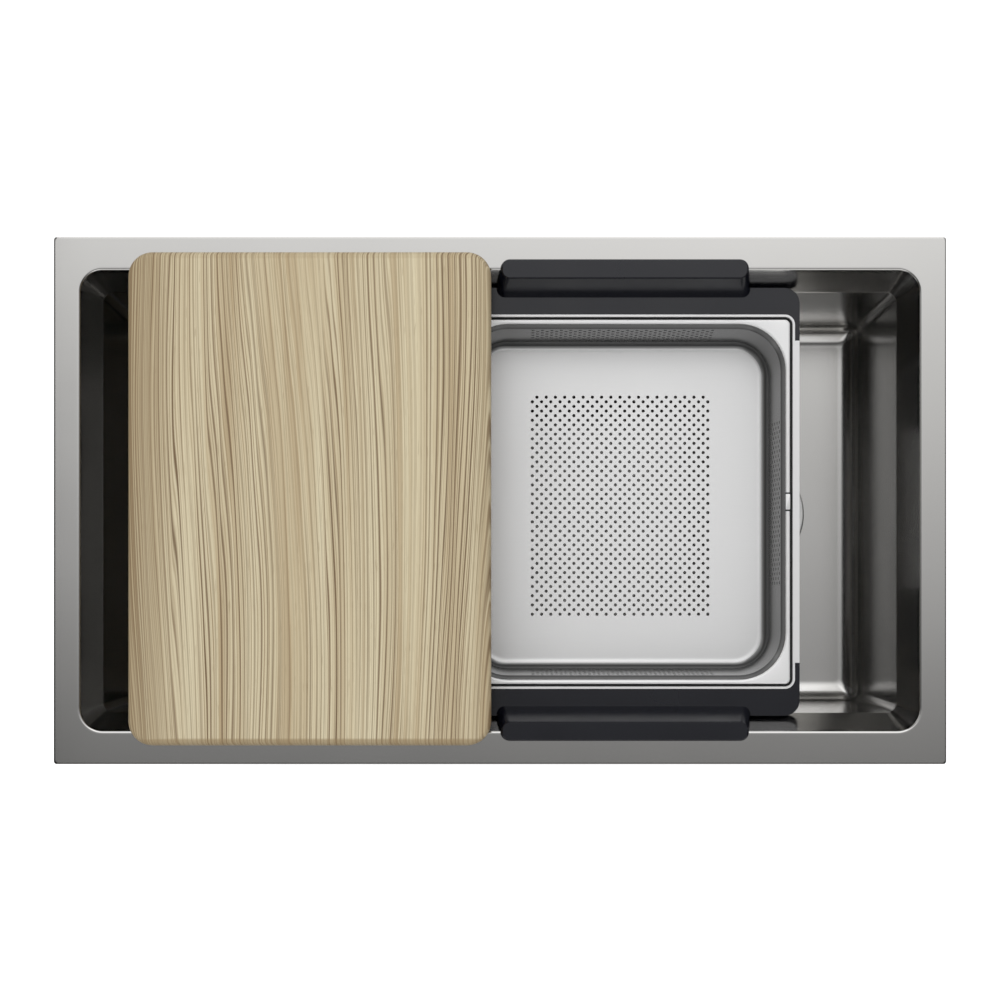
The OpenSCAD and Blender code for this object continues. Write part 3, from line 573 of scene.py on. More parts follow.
# The pressed tray's walls: roughness, lowest and highest place in metres, and tones by height, which paint
# shade on the walls
TRAY_WALL_PAINTED_SHADE = (0.2, -0.0766, -0.0145,
             ((-0.0766, 1.0), (-0.0763, 1.0), (-0.0752, 0.22), (-0.0735, 0.08), (-0.068, 0.08),
              (-0.062, 0.13), (-0.026, 0.14), (-0.0245, 0.12), (-0.022, 0.12), (-0.0205, 0.21),
              (-0.0165, 0.25), (-0.0156, 1.0), (-0.0145, 1.0)))

FINISH = {
    "sink_steel": steel("satin_sink_steel", (0.70, 0.691, 0.674), 0.115, brush_depth=5e-8, spread=0.008,
                        streak=0.008, inside=(0.002, 0.004, 0.2)),
    "tray_steel": steel("satin_tray_steel", (0.95, 0.95, 0.95), 0.44, brush_depth=1e-7, spread=0.015,
                        metal=0.6),
    # The pressed pan's finish, with painted shade on its walls
    "tray_pressed": steel("pressed_tray_steel_painted_shade", (1.0, 1.0, 1.0), 0.42, brush_depth=1e-7, spread=0.015,
                          metal=0.55, walls=TRAY_WALL_PAINTED_SHADE),
    "bright_steel": steel("polished_steel", (0.78, 0.78, 0.77), 0.19, brush_depth=5e-7),
    "plated_steel": steel("zinc_plated_steel", (0.66, 0.66, 0.63), 0.36, brush=(120.0, 120.0, 120.0)),
    "nut_brass": steel("cast_brass", (0.70, 0.55, 0.28), 0.38, brush=(400.0, 400.0, 400.0), brush_depth=2e-5),
    "foam": moulded("closed_cell_foam", (0.14, 0.14, 0.14), 0.85, 900.0, 6e-5),
    "pad_rubber": moulded("pad_rubber", (0.06, 0.06, 0.062), 0.8, 500.0, 4e-5),
    "black_rubber": moulded("black_rubber", (0.014, 0.014, 0.0145), 0.6),
    "grey_silicone": moulded("grey_silicone", (0.2, 0.2, 0.2), 0.55),
    "fibre": moulded("fibre_card", (0.5, 0.38, 0.24), 0.85, 700.0, 3e-5),
    "white_plastic": moulded("white_plastic", (0.8, 0.8, 0.78), 0.45),
    "black_plastic": moulded("black_moulded_plastic", (0.004, 0.0045, 0.0085), 0.24, gloss=0.65),
    "ash_wood": oiled_ash(),
}


# ---- Sink ----
def bowl_rows():
    """Profile of the bowl from the rim's bend down to the flat floor."""
    slope = math.degrees(math.atan2(LEDGE_IN, LEDGE_DROP))
    wall_h = BOWL_DEPTH - LEDGE_DROP - FLOOR_FILLET
    wall = math.degrees(math.atan2(WALL_DRAFT, wall_h))
    mean, half = (slope + wall) / 2, (slope - wall) / 2
    reach = LIP_ROUND / math.cos(math.radians(half))
    foot = LEDGE_IN + WALL_DRAFT + FLOOR_FILLET
    rows = arc_rows(-BEND_R, -BEND_R, BEND_R, 90, slope, OPEN_R + BEND_R, OPEN_R)
    rows += arc_rows(LEDGE_IN - reach * math.cos(math.radians(mean)),
                     -LEDGE_DROP - reach * math.sin(math.radians(mean)),
                     LIP_ROUND, slope, wall, WALL_R, WALL_R)
    rows += arc_rows(foot, FLOOR_FILLET - BOWL_DEPTH, -FLOOR_FILLET, wall, 90, WALL_R, FLOOR_R, 16)
    flat = (foot + SUPPORT, -BOWL_DEPTH, 90, FLOOR_R)
    return with_supports(rows) + [flat]


def make_shell():
    """The sink's welded shell: rim, ledge, walls and floor in one sheet with the drain's hole in it."""
    rows = bowl_rows()
    edge = RIM_EDGE
    rim_rings = [ring(RIM_HALF[0], RIM_HALF[1], RIM_R, -SHEET_T)]
    for a in (0, 30, 60, 90):
        turn = math.radians(a)
        inset = edge * (1 - math.cos(turn))
        rim_rings.append(ring(RIM_HALF[0] - inset, RIM_HALF[1] - inset, RIM_R - inset,
                              -edge * (1 - math.sin(turn))))
    flat_r = OPEN_R + BEND_R + SUPPORT
    rim_rings.append(ring(RIM_HALF[0] - edge - SUPPORT, RIM_HALF[1] - edge - SUPPORT, RIM_R, 0))
    rim_rings.append(ring(OPEN_HALF[0] + BEND_R + SUPPORT, OPEN_HALF[1] + BEND_R + SUPPORT, flat_r, 0))
    under = [row_ring(OPEN_HALF, row, SHEET_T) for row in reversed(rows)]
    under.append(ring(OPEN_HALF[0] + BEND_R + SUPPORT, OPEN_HALF[1] + BEND_R + SUPPORT, flat_r, -SHEET_T))
    inside = [row_ring(OPEN_HALF, row, 0) for row in rows]
    rings = under + rim_rings + inside
    points, faces = loft(rings)
    n = len(rings[0])
    for first, up, z in ((0, False, -BOWL_DEPTH - SHEET_T), ((len(rings) - 1) * n, True, -BOWL_DEPTH)):
        base = len(points)
        hole = circle(DRAIN_X, 0, FLOOR_HOLE_R, z)
        points += hole
        where = list(range(first, first + n)) + list(range(base, base + len(hole)))
        outer = [(p[0], p[1], 0.0) for p in points[first:first + n]]
        faces += [tuple(where[i] for i in face)
                  for face in holed_face(outer, [[(p[0], p[1], 0.0) for p in hole]], up)]
    low, high = base - len(hole), base
    for i in range(len(hole)):
        k = (i + 1) % len(hole)
        faces.append((low + i, low + k, high + k, high + i))
    return new_piece("sink_shell", place(points), faces)


finish_piece(make_shell(), "sink", "sink_steel",
             "rim", "bowl_floor", "bowl_front", "bowl_rear", "bowl_left", "bowl_right")


# ---- Cutting board ----
def make_board():
    """The board with its rounded top edge, and the tongue under it that fits the opening."""
    top = BOARD_T + BOARD_LIFT
    half_w, half_d = BOARD_HALF
    edge_steps, chamfer_steps = 10, 6
    rings = [ring(half_w - BOARD_EDGE - SUPPORT, half_d - BOARD_EDGE - SUPPORT, BOARD_R - BOARD_EDGE, top)]
    for i in range(edge_steps + 1):
        a = math.radians(90 - 90 * i / edge_steps)
        inset = BOARD_EDGE * (1 - math.cos(a))
        rings.append(ring(half_w - inset, half_d - inset, BOARD_R - inset,
                          top - BOARD_EDGE * (1 - math.sin(a))))
    rings.append(ring(half_w, half_d, BOARD_R, top - BOARD_EDGE - SUPPORT))
    rings.append(ring(half_w, half_d, BOARD_R, BOARD_LIFT + BOARD_CHAMFER + SUPPORT))
    for i in range(chamfer_steps + 1):
        a = math.radians(-90 * i / chamfer_steps)
        inset = BOARD_CHAMFER * (1 - math.cos(a))
        rings.append(ring(half_w - inset, half_d - inset, BOARD_R - inset,
                          BOARD_LIFT + BOARD_CHAMFER * (1 + math.sin(a))))
    rings.append(ring(half_w - BOARD_CHAMFER - SUPPORT, half_d - BOARD_CHAMFER - SUPPORT,
                      BOARD_R - BOARD_CHAMFER, BOARD_LIFT))
    for inset, z in ((0, BOARD_LIFT), (0, TONGUE_LOW + 1), (0.3, TONGUE_LOW + 0.3), (1, TONGUE_LOW)):
        rings.append(ring(TONGUE_HALF[0] - inset, TONGUE_HALF[1] - inset, TONGUE_R, z))
    points, faces = loft(list(reversed(rings)), cap_first=True, cap_last=True)
    return new_piece("board_slab", place(points, BOARD_X), faces)


finish_piece(make_board(), "board", "ash_wood", "cutting_board")
finish_piece(dressed_copy("board_feet", "board_pads"), "board", "grey_silicone", "board_pads")

# ---- Carrier ----
finish_piece(dressed_copy("carrier_deck", "carrier_frame", 0.3), "carrier", "tray_steel", "carrier_frame")
for side in ("rear", "front"):
    finish_piece(dressed_copy("cap_" + side, "carrier_cap_" + side, 0.7, 3), "carrier", "black_plastic",
                 "carrier_cap_" + side)
finish_piece(dressed_copy("glides", "glide_strips"), "carrier", "grey_silicone", "glide_strips")


def make_gap_shade_strip():
    """Thin black strip on the shelf inside the carrier's lip, under the edge of the tray's rim: painted
    shade, a dark sheet where the gap lies in shadow.
    """
    low, high = -21.98, -21.87
    outer = (2.45, 7.0)  # reach past the tray's rim, and corner radius
    inner = (-1.0, 4.0)
    rings = [ring(TRAY_HALF[0] + TRAY_RIM_W + reach, TRAY_HALF[1] + TRAY_RIM_W + reach, r, z)
             for (reach, r), z in ((outer, low), (outer, high), (inner, high), (inner, low))]
    points, faces = loft(rings, closed=True)
    return new_piece("tray_gap_shade_strip", place(points, CARRIER_X), faces)


# The strip's black rubber finish is painted shade in the gap between lip and rim
finish_piece(make_gap_shade_strip(), "carrier", "black_rubber")


# ---- Colander tray ----
def tray_rows():
    """Profile of the pan from the edge of its rim down to the flat floor."""
    shoulder, shoulder_up, shoulder_turn = 1.2, 0.5, 30
    foot = NECK_IN + STEP_W + TRAY_LEAN
    wall = math.degrees(math.atan2(TRAY_LEAN, TRAY_DEPTH - STEP_TOP - STEP_FALL - TRAY_FILLET))
    rows = [(-TRAY_RIM_W, -TRAY_RIM_LOW, 180, TRAY_RIM_R)]
    rows += arc_rows(TRAY_EDGE - TRAY_RIM_W, -TRAY_TOP - TRAY_EDGE, TRAY_EDGE, 180, 90,
                     TRAY_RIM_R, TRAY_RIM_R - TRAY_EDGE, 6)
    rows += arc_rows(-TRAY_BEND, -TRAY_TOP - TRAY_BEND, TRAY_BEND, 90, NECK_ANGLE,
                     TRAY_R + TRAY_BEND, TRAY_R, 6)
    rows += arc_rows(NECK_IN - shoulder, -TRAY_TOP - STEP_TOP + shoulder_up, shoulder, NECK_ANGLE,
                     STEP_ANGLE + shoulder_turn, TRAY_R - NECK_IN, TRAY_R - NECK_IN, 4)
    rows.append((NECK_IN + STEP_W, -TRAY_TOP - STEP_TOP - STEP_FALL, STEP_ANGLE, TRAY_R - NECK_IN - STEP_W))
    rows += arc_rows(foot + TRAY_FILLET, TRAY_FILLET - TRAY_TOP - TRAY_DEPTH, -TRAY_FILLET, wall, 90,
                     TRAY_R - foot, TRAY_R - foot - TRAY_FILLET, 12)
    flat = (foot + TRAY_FILLET + SUPPORT, -TRAY_TOP - TRAY_DEPTH, 90, TRAY_R - foot - TRAY_FILLET)
    return with_supports(rows) + [flat]


def punched_panel(name, outline, radius, pitch, rows, columns, sides, finish):
    """Mesh of a flat panel inside an outline (x, y in metres), with staggered rows of round holes in it.

    Every other row has one hole fewer; rows lie half a pitch apart.
    """
    tree = bpy.data.node_groups.new(name, "GeometryNodeTree")
    sockets = {}
    for label, kind, value in (("Outline", "NodeSocketGeometry", None),
                               ("Hole Radius", "NodeSocketFloat", radius),
                               ("Pitch", "NodeSocketFloat", pitch),
                               ("Rows", "NodeSocketInt", rows),
                               ("Columns", "NodeSocketInt", columns),
                               ("Hole Sides", "NodeSocketInt", sides),
                               ("Finish", "NodeSocketMaterial", finish)):
        socket = tree.interface.new_socket(label, in_out="INPUT", socket_type=kind)
        sockets[socket.identifier] = value
    tree.interface.new_socket("Panel", in_out="OUTPUT", socket_type="NodeSocketGeometry")

    def add(kind, inputs=(), **settings):
        node = tree.nodes.new(kind)
        for key, value in settings.items():
            setattr(node, key, value)
        for key, value in inputs:
            if isinstance(value, bpy.types.NodeSocket):
                tree.links.new(value, node.inputs[key])
            else:
                node.inputs[key].default_value = value
        return node

    def calc(operation, a, b=0.0):
        return add("ShaderNodeMath", ((0, a), (1, b)), operation=operation).outputs[0]

    given = add("NodeGroupInput").outputs
    index = add("GeometryNodeInputIndex").outputs[0]
    row = calc("FLOOR", calc("DIVIDE", calc("ADD", index, 0.5), given["Columns"]))
    column = calc("SUBTRACT", index, calc("MULTIPLY", row, given["Columns"]))
    odd = calc("MODULO", row, 2.0)
    in_row = calc("SUBTRACT", calc("SUBTRACT", given["Columns"], 1.0), odd)
    x = calc("MULTIPLY", given["Pitch"], calc("SUBTRACT", column, calc("DIVIDE", in_row, 2.0)))
    half_rows = calc("DIVIDE", calc("SUBTRACT", given["Rows"], 1.0), 2.0)
    y = calc("MULTIPLY", calc("DIVIDE", given["Pitch"], 2.0), calc("SUBTRACT", row, half_rows))
    spot = add("ShaderNodeCombineXYZ", (("X", x), ("Y", y))).outputs[0]
    points = add("GeometryNodePoints", (("Count", calc("MULTIPLY", given["Rows"], given["Columns"])),
                                        ("Position", spot)))
    hole = add("GeometryNodeCurvePrimitiveCircle", (("Resolution", given["Hole Sides"]),
                                                    ("Radius", given["Hole Radius"])))
    wanted = calc("LESS_THAN", column, calc("ADD", in_row, 0.5))
    holes = add("GeometryNodeInstanceOnPoints", (("Points", points.outputs[0]), ("Selection", wanted),
                                                 ("Instance", hole.outputs[0])))
    loose = add("GeometryNodeRealizeInstances", (("Geometry", holes.outputs[0]),))
    edge = add("GeometryNodeMeshToCurve", (("Mesh", given["Outline"]),))
    both = add("GeometryNodeJoinGeometry")
    tree.links.new(loose.outputs[0], both.inputs[0])
    tree.links.new(edge.outputs[0], both.inputs[0])
    sheet = add("GeometryNodeFillCurve", (("Curve", both.outputs[0]),), mode="TRIANGLES")
    whole = add("GeometryNodeRealizeInstances", (("Geometry", sheet.outputs[0]),))
    coated = add("GeometryNodeSetMaterial", (("Geometry", whole.outputs[0]), ("Material", given["Finish"])))
    out = add("NodeGroupOutput")
    tree.links.new(coated.outputs[0], out.inputs[0])

    count = len(outline)
    mesh = bpy.data.meshes.new(name)
    mesh.from_pydata([(px, py, 0.0) for px, py in outline], [(i, (i + 1) % count) for i in range(count)], [])
    obj = bpy.data.objects.new(name, mesh)
    bpy.context.scene.collection.objects.link(obj)
    made = obj.modifiers.new(name, "NODES")
    made.node_group = tree
    for identifier, value in sockets.items():
        if value is not None:
            made[identifier] = value
    depsgraph = bpy.context.evaluated_depsgraph_get()
    panel = bpy.data.meshes.new_from_object(obj.evaluated_get(depsgraph))
    bpy.data.objects.remove(obj)
    return panel


def let_in(bm, panel, origin, along, up):
    """Adds a flat panel to a mesh, with its x axis along and its y axis up."""
    facing = along.cross(up)
    turn = Matrix((along, up, facing)).transposed().to_4x4()
    panel.transform(Matrix.Translation(origin) @ turn)
    bm.from_mesh(panel)
    bpy.data.meshes.remove(panel)


def make_tray():
    """The pan: a pressed sheet with punched panels let into its floor and its four walls."""
    rows = tray_rows()
    rings = [[Vector(p) for p in place(row_ring(TRAY_HALF, row, 0), CARRIER_X)] for row in rows]
    drops = [math.hypot(b[0] - a[0], b[1] - a[1]) for a, b in zip(rows, rows[1:])]
    high = drops.index(max(drops))
    n = len(rings[0])
    per_corner = CORNER_STEPS + 3
    windows = [c * per_corner + per_corner - 1 for c in range(4)]
    points, faces = loft([[tuple(p) for p in r] for r in rings])
    faces = [f for f in faces if not (f[0] // n == high and f[0] % n in windows)]
    bm = bmesh.new()
    verts = [bm.verts.new(p) for p in points]
    for face in faces:
        bm.faces.new([verts[i] for i in face])
    finish = FINISH["tray_steel"]
    for side, i in enumerate(windows):
        k = (i + 1) % n
        a, b, c, d = rings[high][i], rings[high][k], rings[high + 1][i], rings[high + 1][k]
        along = (a - b).normalized()
        up = ((a + b) / 2 - (c + d) / 2).normalized()
        middle = (a + b + c + d) / 4
        outline = [((p - middle).dot(along), (p - middle).dot(up)) for p in (a, b, d, c)]
        panel = punched_panel("wall_panel", outline, HOLE_R * MM, HOLE_PITCH * MM, WALL_ROWS,
                              WALL_COLUMNS[side % 2], WALL_HOLE_SIDES, finish)
        let_in(bm, panel, middle, along, up)
    middle = Vector((CARRIER_X * MM, 0.0, rings[-1][0].z))
    outline = [(p.x - middle.x, p.y) for p in rings[-1]]
    panel = punched_panel("floor_panel", outline, HOLE_R * MM, HOLE_PITCH * MM, FLOOR_ROWS, FLOOR_COLUMNS,
                          FLOOR_HOLE_SIDES, finish)
    let_in(bm, panel, middle, Vector((1, 0, 0)), Vector((0, 1, 0)))
    bmesh.ops.remove_doubles(bm, verts=bm.verts, dist=MERGE_TRAY)
    obj = piece_from(bm, "colander_pan")
    thicken(obj, TRAY_T)
    return obj


# The pan's finish paints shade on its walls
finish_piece(make_tray(), "tray", "tray_steel", "colander_tray", "tray_floor", finish="tray_pressed")


def rim_plate(name, across, along, y, low, high):
    """Small plate with rounded corners over the right side of the tray's rim."""
    corner, crown = 0.6, 0.25
    rings = [ring(across / 2 - inset, along / 2 - inset, corner - inset, z, steps=4, support=0.05)
             for inset, z in ((0, low), (0, high - crown), (0.3 * crown, high - 0.3 * crown), (crown, high))]
    points, faces = loft(rings, cap_first=True, cap_last=True)
    return new_piece(name, place([(px, py + y, z) for px, py, z in points],
                                 CARRIER_X + TRAY_HALF[0] + TRAY_RIM_W / 2), faces)


# The short tab and the dark lines at its ends are thin plates, laid on the rim in the scene alone; the dark
# lines are black plates of painted shade, for the shaded grooves at the tab's ends.
# The solids' tray has two other tabs, which reach 1.6 past its rim and aren't shown here.
TAB_ACROSS, TAB_LENGTH, TAB_LOW, TAB_TOP = 4.1, 14.8, -18.6, -17.6
LINE_ACROSS, LINE_LENGTH, LINE_LOW, LINE_TOP = 4.9, 1.5, -18.7, -17.9
finish_piece(rim_plate("rim_tab", TAB_ACROSS, TAB_LENGTH, 0.0, TAB_LOW, TAB_TOP), "tray", "tray_steel")
# Painted shade: black plates where the grooves at the tab's ends lie in shadow
for side, way in (("rear", 1), ("front", -1)):
    line_y = way * (TAB_LENGTH + LINE_LENGTH) / 2
    finish_piece(rim_plate("tab_groove_shade_" + side, LINE_ACROSS, LINE_LENGTH, line_y, LINE_LOW, LINE_TOP),
                 "tray", "black_rubber")


# ---- Drain and basket: heights in these profiles are counted from the bowl's floor ----
def turned(name, profile, steps=TURN_STEPS):
    """Turned piece on the drain's axis, from a profile that runs round it anticlockwise."""
    return lathe(name, [(r, z - BOWL_DEPTH) for r, z in profile], DRAIN_X, steps)


def thread(r, low, high, pitch=2.2, depth=0.7):
    """Profile of a thread's ridges up the outside of a tube."""
    turns = int((high - low) / pitch)
    ridges = []
    for i in range(turns):
        z = low + i * pitch
        ridges += [(r - depth, z), (r, z + 0.35 * pitch), (r, z + 0.6 * pitch)]
    return ridges + [(r - depth, low + turns * pitch)]


def bend(r, z, radius, start, end, steps=6):
    """Arc about (r, z) in a turned piece's profile."""
    turns = [math.radians(start + (end - start) * i / steps) for i in range(steps + 1)]
    return [(r + radius * math.cos(a), z + radius * math.sin(a)) for a in turns]


def strainer_profile():
    outlet = [(19.5, -69.6), (19.9, -70.0), (21.8, -70.0)] + thread(OUTLET_R, -69.0, -53.5)
    cone = [(OUTLET_R, -52.2), (43.9, -40.6)] + bend(43.5, -39.7, 1.0, -60, 0)
    neck = thread(BODY_R, -38.0, -3.0) + [(BODY_R, 0.8), (56.4, 0.8)]
    flange = bend(56.2, 1.6, 0.8, -90, 90) + [(54.4, 2.4), (44.6, 1.8)] + bend(44.0, -0.7, 2.5, 90, 180)
    cup = [(CUP_R, -37.0)] + bend(39.5, -37.0, 2.0, 0, -60)
    throat = [(20.4, -51.0)] + bend(21.5, -53.0, 2.0, 120, 180)
    return outlet + cone + neck + flange + cup + throat


def knob_profile():
    foot = [(0.0, -52.35), (2.6, -52.35), (STEM_R, -51.9), (STEM_R, -29.0)]
    stem = [(4.0, -28.9), (4.0, 0.0), (4.6, 3.0), (6.6, 7.4)]
    head = bend(7.6, 11.2, 1.4, -40, 0) + bend(7.0, 12.4, 2.0, 0, 90)
    return foot + stem + head + [(5.5, 14.4), (4.8, 13.9), (0.0, 13.8)]


def stopper_profile():
    return [(3.1, -49.35), (21.8, -49.35), (24.0, -48.2), (24.0, -47.6), (23.2, -47.0), (18.0, -46.35),
            (3.1, -46.35)]


def tailpiece_profile():
    """Tailpiece; its flange is 22.2 in radius here and 22.0 in the solids."""
    tube = [(17.85, -171.2), (18.1, -171.6), (18.8, -171.6), (TAIL_R, -171.3), (TAIL_R, -78.0)]
    neck = [(18.65, -77.4), (18.65, -73.6)] + bend(19.1, -73.6, 0.5, 180, 90, 3)
    flange = bend(21.5, -72.35, 0.7, -90, 90) + [(18.6, -71.6)] + bend(18.6, -72.35, 0.75, 90, 180, 3)
    return tube + neck + flange


def make_basket():
    """Basket cup: one sheet with rows of holes round its wall and rings of holes in its floor.

    Its rolled rim stands 0.6 higher than the plain one of the solids.
    """
    low, high = BASKET_WALL
    rolled = [(45.5, 3.0), (45.4, 3.2)] + bend(44.6, 3.0, 0.6, 40, 90, 3) + [(40.0, 3.4)]
    rim = rolled + bend(39.0, 0.4, 3.0, 90, 180, 6) + [(BASKET_R, high)]
    foot = [(BASKET_R, low)] + bend(BASKET_R - BASKET_FOOT_R, low - 0.97, BASKET_FOOT_R, 0, -90)
    bm = bmesh.new()

    def add(points, faces):
        verts = [bm.verts.new(p) for p in place(points, DRAIN_X)]
        for face in faces:
            bm.faces.new([verts[i] for i in face])

    for profile in (rim, foot):
        rings = [circle(0, 0, r, z - BOWL_DEPTH) for r, z in profile]
        add(*loft(rings))
    stem_hole_r = STEM_R + 0.1
    holes = [circle(0, 0, stem_hole_r, 0.0, 24)]
    for count, radius in BASKET_RINGS:
        for i in range(count):
            a = 2 * math.pi * i / count
            holes.append(circle(radius * math.cos(a), radius * math.sin(a), BASKET_HOLE_R, 0.0, 16))
    outer = circle(0, 0, BASKET_R - BASKET_FOOT_R, 0.0)
    flat = [(x, y, BASKET_FLOOR - BOWL_DEPTH) for loop in [outer] + holes for x, y, _ in loop]
    add(flat, holed_face(outer, holes, True))
    half, middle = math.pi * BASKET_R, (high + low) / 2
    outline = [(half * (2 * i / TURN_STEPS - 1), low - middle) for i in range(TURN_STEPS + 1)]
    outline += [(x, high - middle) for x, _ in reversed(outline)]
    hole_r, rows, columns, sides = BASKET_WALL_HOLES
    panel = punched_panel("basket_panel", [(x * MM, y * MM) for x, y in outline], hole_r * MM,
                          2 * half * MM / columns, rows, columns, sides, FINISH["bright_steel"])
    for vert in panel.vertices:
        a = vert.co.x / (BASKET_R * MM)
        vert.co = ((DRAIN_X + BASKET_R * math.cos(a)) * MM, BASKET_R * MM * math.sin(a),
                   vert.co.y + (middle - BOWL_DEPTH + RIM_TOP) * MM)
    bm.from_mesh(panel)
    bpy.data.meshes.remove(panel)
    bmesh.ops.remove_doubles(bm, verts=bm.verts, dist=MERGE_BASKET)
    bmesh.ops.recalc_face_normals(bm, faces=bm.faces)
    if max(bm.faces, key=lambda face: face.calc_area() * abs(face.normal.z)).normal.z < 0:
        bmesh.ops.reverse_faces(bm, faces=bm.faces)
    obj = piece_from(bm, "basket_sheet")
    thicken(obj, BASKET_T)
    return obj


finish_piece(turned("strainer_cup", strainer_profile()), "sink", "bright_steel", "strainer_body")
finish_piece(turned("tail_tube", tailpiece_profile()), "sink", "bright_steel", "tailpiece")
finish_piece(make_basket(), "basket", "bright_steel", "basket_cup")
finish_piece(turned("knob", knob_profile(), 48), "basket", "bright_steel", "basket_knob")
finish_piece(turned("stopper", stopper_profile()), "basket", "black_rubber", "basket_stopper")

# ---- Fixings and pads ----
BODY = {node: body for body, nodes in frame["record"]["behaviour"]["bodies"].items() for node in nodes}
ROUNDING = {"plated_steel": 0.15, "foam": 0.5, "pad_rubber": 0.5}
OTHER_ROUNDING = 0.3

for subpart in frame["record"]["subparts"]:
    part_node, part_slot = subpart["node"], subpart["material_slot"]
    if not frame["nodes"][part_node].hide_render:
        part_rounding = ROUNDING.get(part_slot, OTHER_ROUNDING)
        finish_piece(dressed_copy(part_node + "_dressed", part_node, part_rounding),
                     BODY[part_node], part_slot, part_node)


# ---- Studio: lengths in metres ----
LENS = 80.78
SENSOR = 36.0
SHIFT_Y = 0.1409
CAMERA_AT = (0.0, -0.1324, 2.109 + RIM_TOP * MM)

FLOOR_HALF = 6.0
FLOOR_BELOW = 0.004
FLOOR_TONE = 0.6
FLOOR_GLOW = (("Is Camera Ray", 0.8), ("Is Glossy Ray", 0.2), ("Is Transmission Ray", 0.2))

# The tent's levels by direction, -1 to 1: front to rear and left to right
TENT_R = 40.0
TENT_DEPTH = ((-1.0, 0.2), (-0.95, 0.3), (-0.88, 0.9), (-0.5, 0.95), (-0.42, 0.85), (-0.36, 0.25),
              (-0.3, 0.08), (-0.2, 0.1), (-0.1, 0.2), (-0.06, 0.26), (-0.026, 0.34), (0.0, 0.45),
              (0.04, 0.58), (0.063, 0.64), (0.107, 0.78), (0.15, 0.88), (0.178, 1.04), (0.3, 1.25),
              (0.5, 1.45), (0.88, 1.45), (0.95, 0.4), (1.0, 0.3))
TENT_ACROSS = ((-1.0, 0.25), (-0.83, 0.3), (-0.77, 1.0), (-0.71, 0.35), (-0.5, 0.3), (-0.33, 0.2),
               (-0.24, 0.14), (-0.208, 1.02), (-0.15, 0.95), (0.0, 1.0), (0.1, 1.06), (0.22, 1.02),
               (0.26, 0.9), (0.33, 0.35), (0.7, 0.3), (1.0, 0.25))
TENT_STRENGTH = 0.9
WORLD_LEVEL = 0.65

LAMP_AT = (-0.5, 0.9, 2.9)
LAMP_AIM = (0.0, 0.0, 0.0)
LAMP_SIZE = 2.6
LAMP_POWER = 48.0


def studio_camera():
    data = bpy.data.cameras.new("studio_camera")
    data.lens = LENS
    data.sensor_width = SENSOR
    data.shift_y = SHIFT_Y
    camera = bpy.data.objects.new("studio_camera", data)
    camera.location = CAMERA_AT
    bpy.context.scene.collection.objects.link(camera)
    bpy.context.scene.camera = camera


def empty_material(name):
    """A material without nodes, its nodes and its links."""
    material = bpy.data.materials.new(name)
    material.use_nodes = True
    tree = material.node_tree
    tree.nodes.clear()
    return material, tree.nodes, tree.links


def studio_floor():
    """Pale floor under the sink: it shows white and keeps the sink's soft shadow."""
    half, z = FLOOR_HALF, cad_box[0][2] - FLOOR_BELOW
    obj = new_piece("studio_floor", [(-half, -half, z), (half, -half, z), (half, half, z), (-half, half, z)],
                    [(0, 1, 2, 3)])
    material, nodes, links = empty_material("pale_floor")
    out = nodes.new("ShaderNodeOutputMaterial")
    seen = nodes.new("ShaderNodeLightPath")
    matt = nodes.new("ShaderNodeBsdfDiffuse")
    matt.inputs["Color"].default_value = (FLOOR_TONE, FLOOR_TONE, FLOOR_TONE, 1)
    glow = nodes.new("ShaderNodeEmission")
    both = nodes.new("ShaderNodeAddShader")
    strength = None
    for ray, level in FLOOR_GLOW:
        part = nodes.new("ShaderNodeMath")
        part.operation = "MULTIPLY_ADD"
        part.inputs[1].default_value = level
        part.inputs[2].default_value = 0.0
        links.new(seen.outputs[ray], part.inputs[0])
        if strength is not None:
            links.new(strength, part.inputs[2])
        strength = part.outputs[0]
    links.new(strength, glow.inputs["Strength"])
    links.new(matt.outputs[0], both.inputs[0])
    links.new(glow.outputs[0], both.inputs[1])
    links.new(both.outputs[0], out.inputs["Surface"])
    obj.data.materials.append(material)


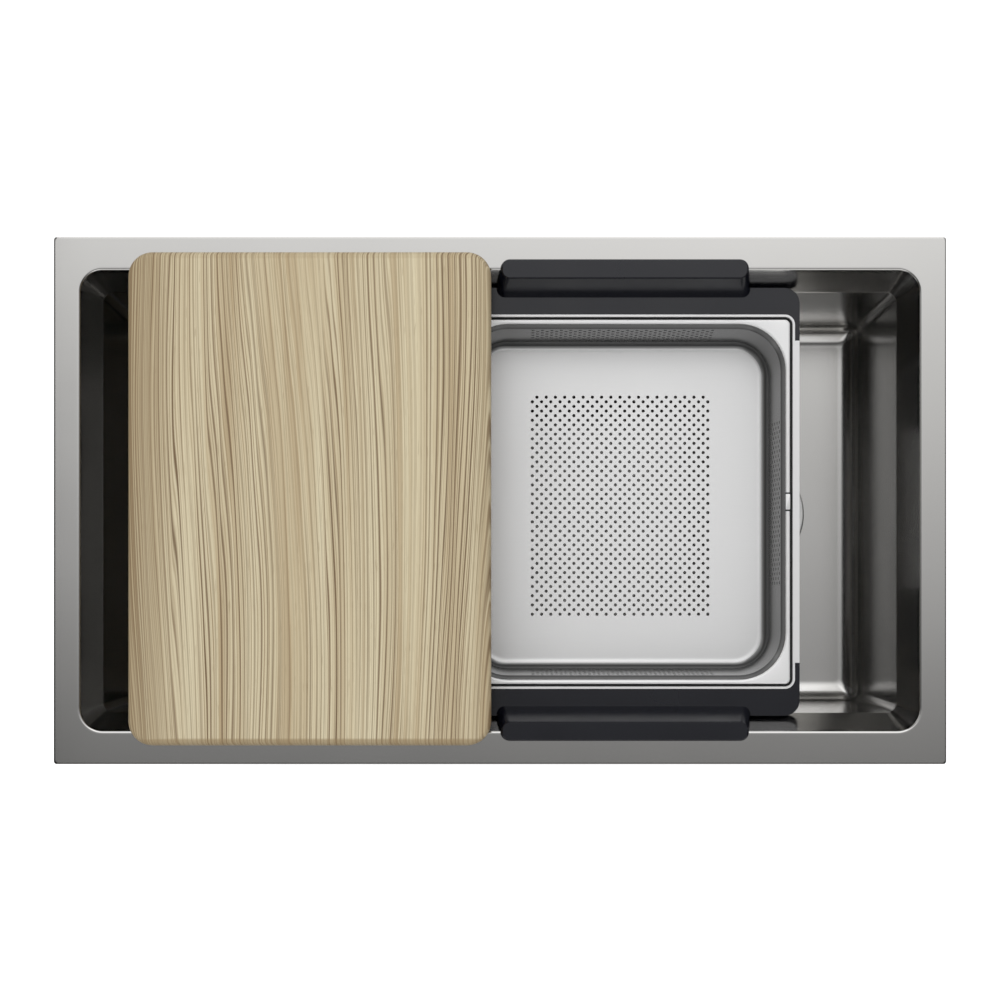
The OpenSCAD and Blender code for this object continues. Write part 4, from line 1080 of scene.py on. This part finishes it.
def studio_tent():
    """Tent round the set that only reflections see, with its levels listed by direction."""
    bm = bmesh.new()
    bmesh.ops.create_uvsphere(bm, u_segments=48, v_segments=24, radius=TENT_R)
    for face in bm.faces:
        face.normal_flip()
    obj = piece_from(bm, "studio_tent")
    material, nodes, links = empty_material("tent_cloth")
    out = nodes.new("ShaderNodeOutputMaterial")
    glow = nodes.new("ShaderNodeEmission")
    coord = nodes.new("ShaderNodeTexCoord")
    unit = nodes.new("ShaderNodeVectorMath")
    unit.operation = "NORMALIZE"
    parts = nodes.new("ShaderNodeSeparateXYZ")
    links.new(coord.outputs["Object"], unit.inputs[0])
    links.new(unit.outputs[0], parts.inputs[0])

    def levels(value, stops):
        span = nodes.new("ShaderNodeMapRange")
        span.inputs["From Min"].default_value = -1.0
        links.new(value, span.inputs["Value"])
        band = nodes.new("ShaderNodeValToRGB")
        links.new(span.outputs["Result"], band.inputs["Fac"])
        set_stops(band.color_ramp, [((at + 1) / 2, (level, level, level)) for at, level in stops])
        return band.outputs["Color"]

    both = nodes.new("ShaderNodeMix")
    both.data_type = "RGBA"
    both.blend_type = "MULTIPLY"
    both.inputs["Factor"].default_value = 1.0
    links.new(levels(parts.outputs["Y"], TENT_DEPTH), both.inputs[6])
    links.new(levels(parts.outputs["X"], TENT_ACROSS), both.inputs[7])
    links.new(both.outputs[2], glow.inputs["Color"])
    glow.inputs["Strength"].default_value = TENT_STRENGTH
    links.new(glow.outputs[0], out.inputs["Surface"])
    material.cycles.emission_sampling = "NONE"
    obj.data.materials.append(material)
    obj.visible_camera = False
    obj.visible_diffuse = False
    obj.visible_shadow = False
    obj.visible_transmission = False


def studio_world():
    """White to the camera and in glass and metal, a plain even level elsewhere."""
    world = bpy.data.worlds.new("studio")
    bpy.context.scene.world = world
    world.use_nodes = True
    nodes, links = world.node_tree.nodes, world.node_tree.links
    nodes.clear()
    path = nodes.new("ShaderNodeLightPath")
    seen = path.outputs["Is Camera Ray"]
    for ray in ("Is Glossy Ray", "Is Transmission Ray"):
        either = nodes.new("ShaderNodeMath")
        either.operation = "MAXIMUM"
        links.new(seen, either.inputs[0])
        links.new(path.outputs[ray], either.inputs[1])
        seen = either.outputs[0]
    mix = nodes.new("ShaderNodeMixShader")
    links.new(seen, mix.inputs[0])
    for place_in, level in ((1, WORLD_LEVEL), (2, 1.0)):
        white = nodes.new("ShaderNodeBackground")
        white.inputs["Color"].default_value = (1, 1, 1, 1)
        white.inputs["Strength"].default_value = level
        links.new(white.outputs[0], mix.inputs[place_in])
    out = nodes.new("ShaderNodeOutputWorld")
    links.new(mix.outputs[0], out.inputs["Surface"])


def key_lamp():
    """Large soft lamp from the rear left that reflections don't show."""
    data = bpy.data.lights.new("key_lamp", "AREA")
    data.shape = "SQUARE"
    data.size = LAMP_SIZE
    data.energy = LAMP_POWER
    lamp = bpy.data.objects.new("key_lamp", data)
    lamp.location = LAMP_AT
    lamp.rotation_euler = (Vector(LAMP_AIM) - Vector(LAMP_AT)).to_track_quat("-Z", "Y").to_euler()
    lamp.visible_glossy = False
    bpy.context.scene.collection.objects.link(lamp)


studio_camera()
studio_floor()
studio_tent()
studio_world()
key_lamp()
bpy.context.scene.view_settings.view_transform = "Standard"
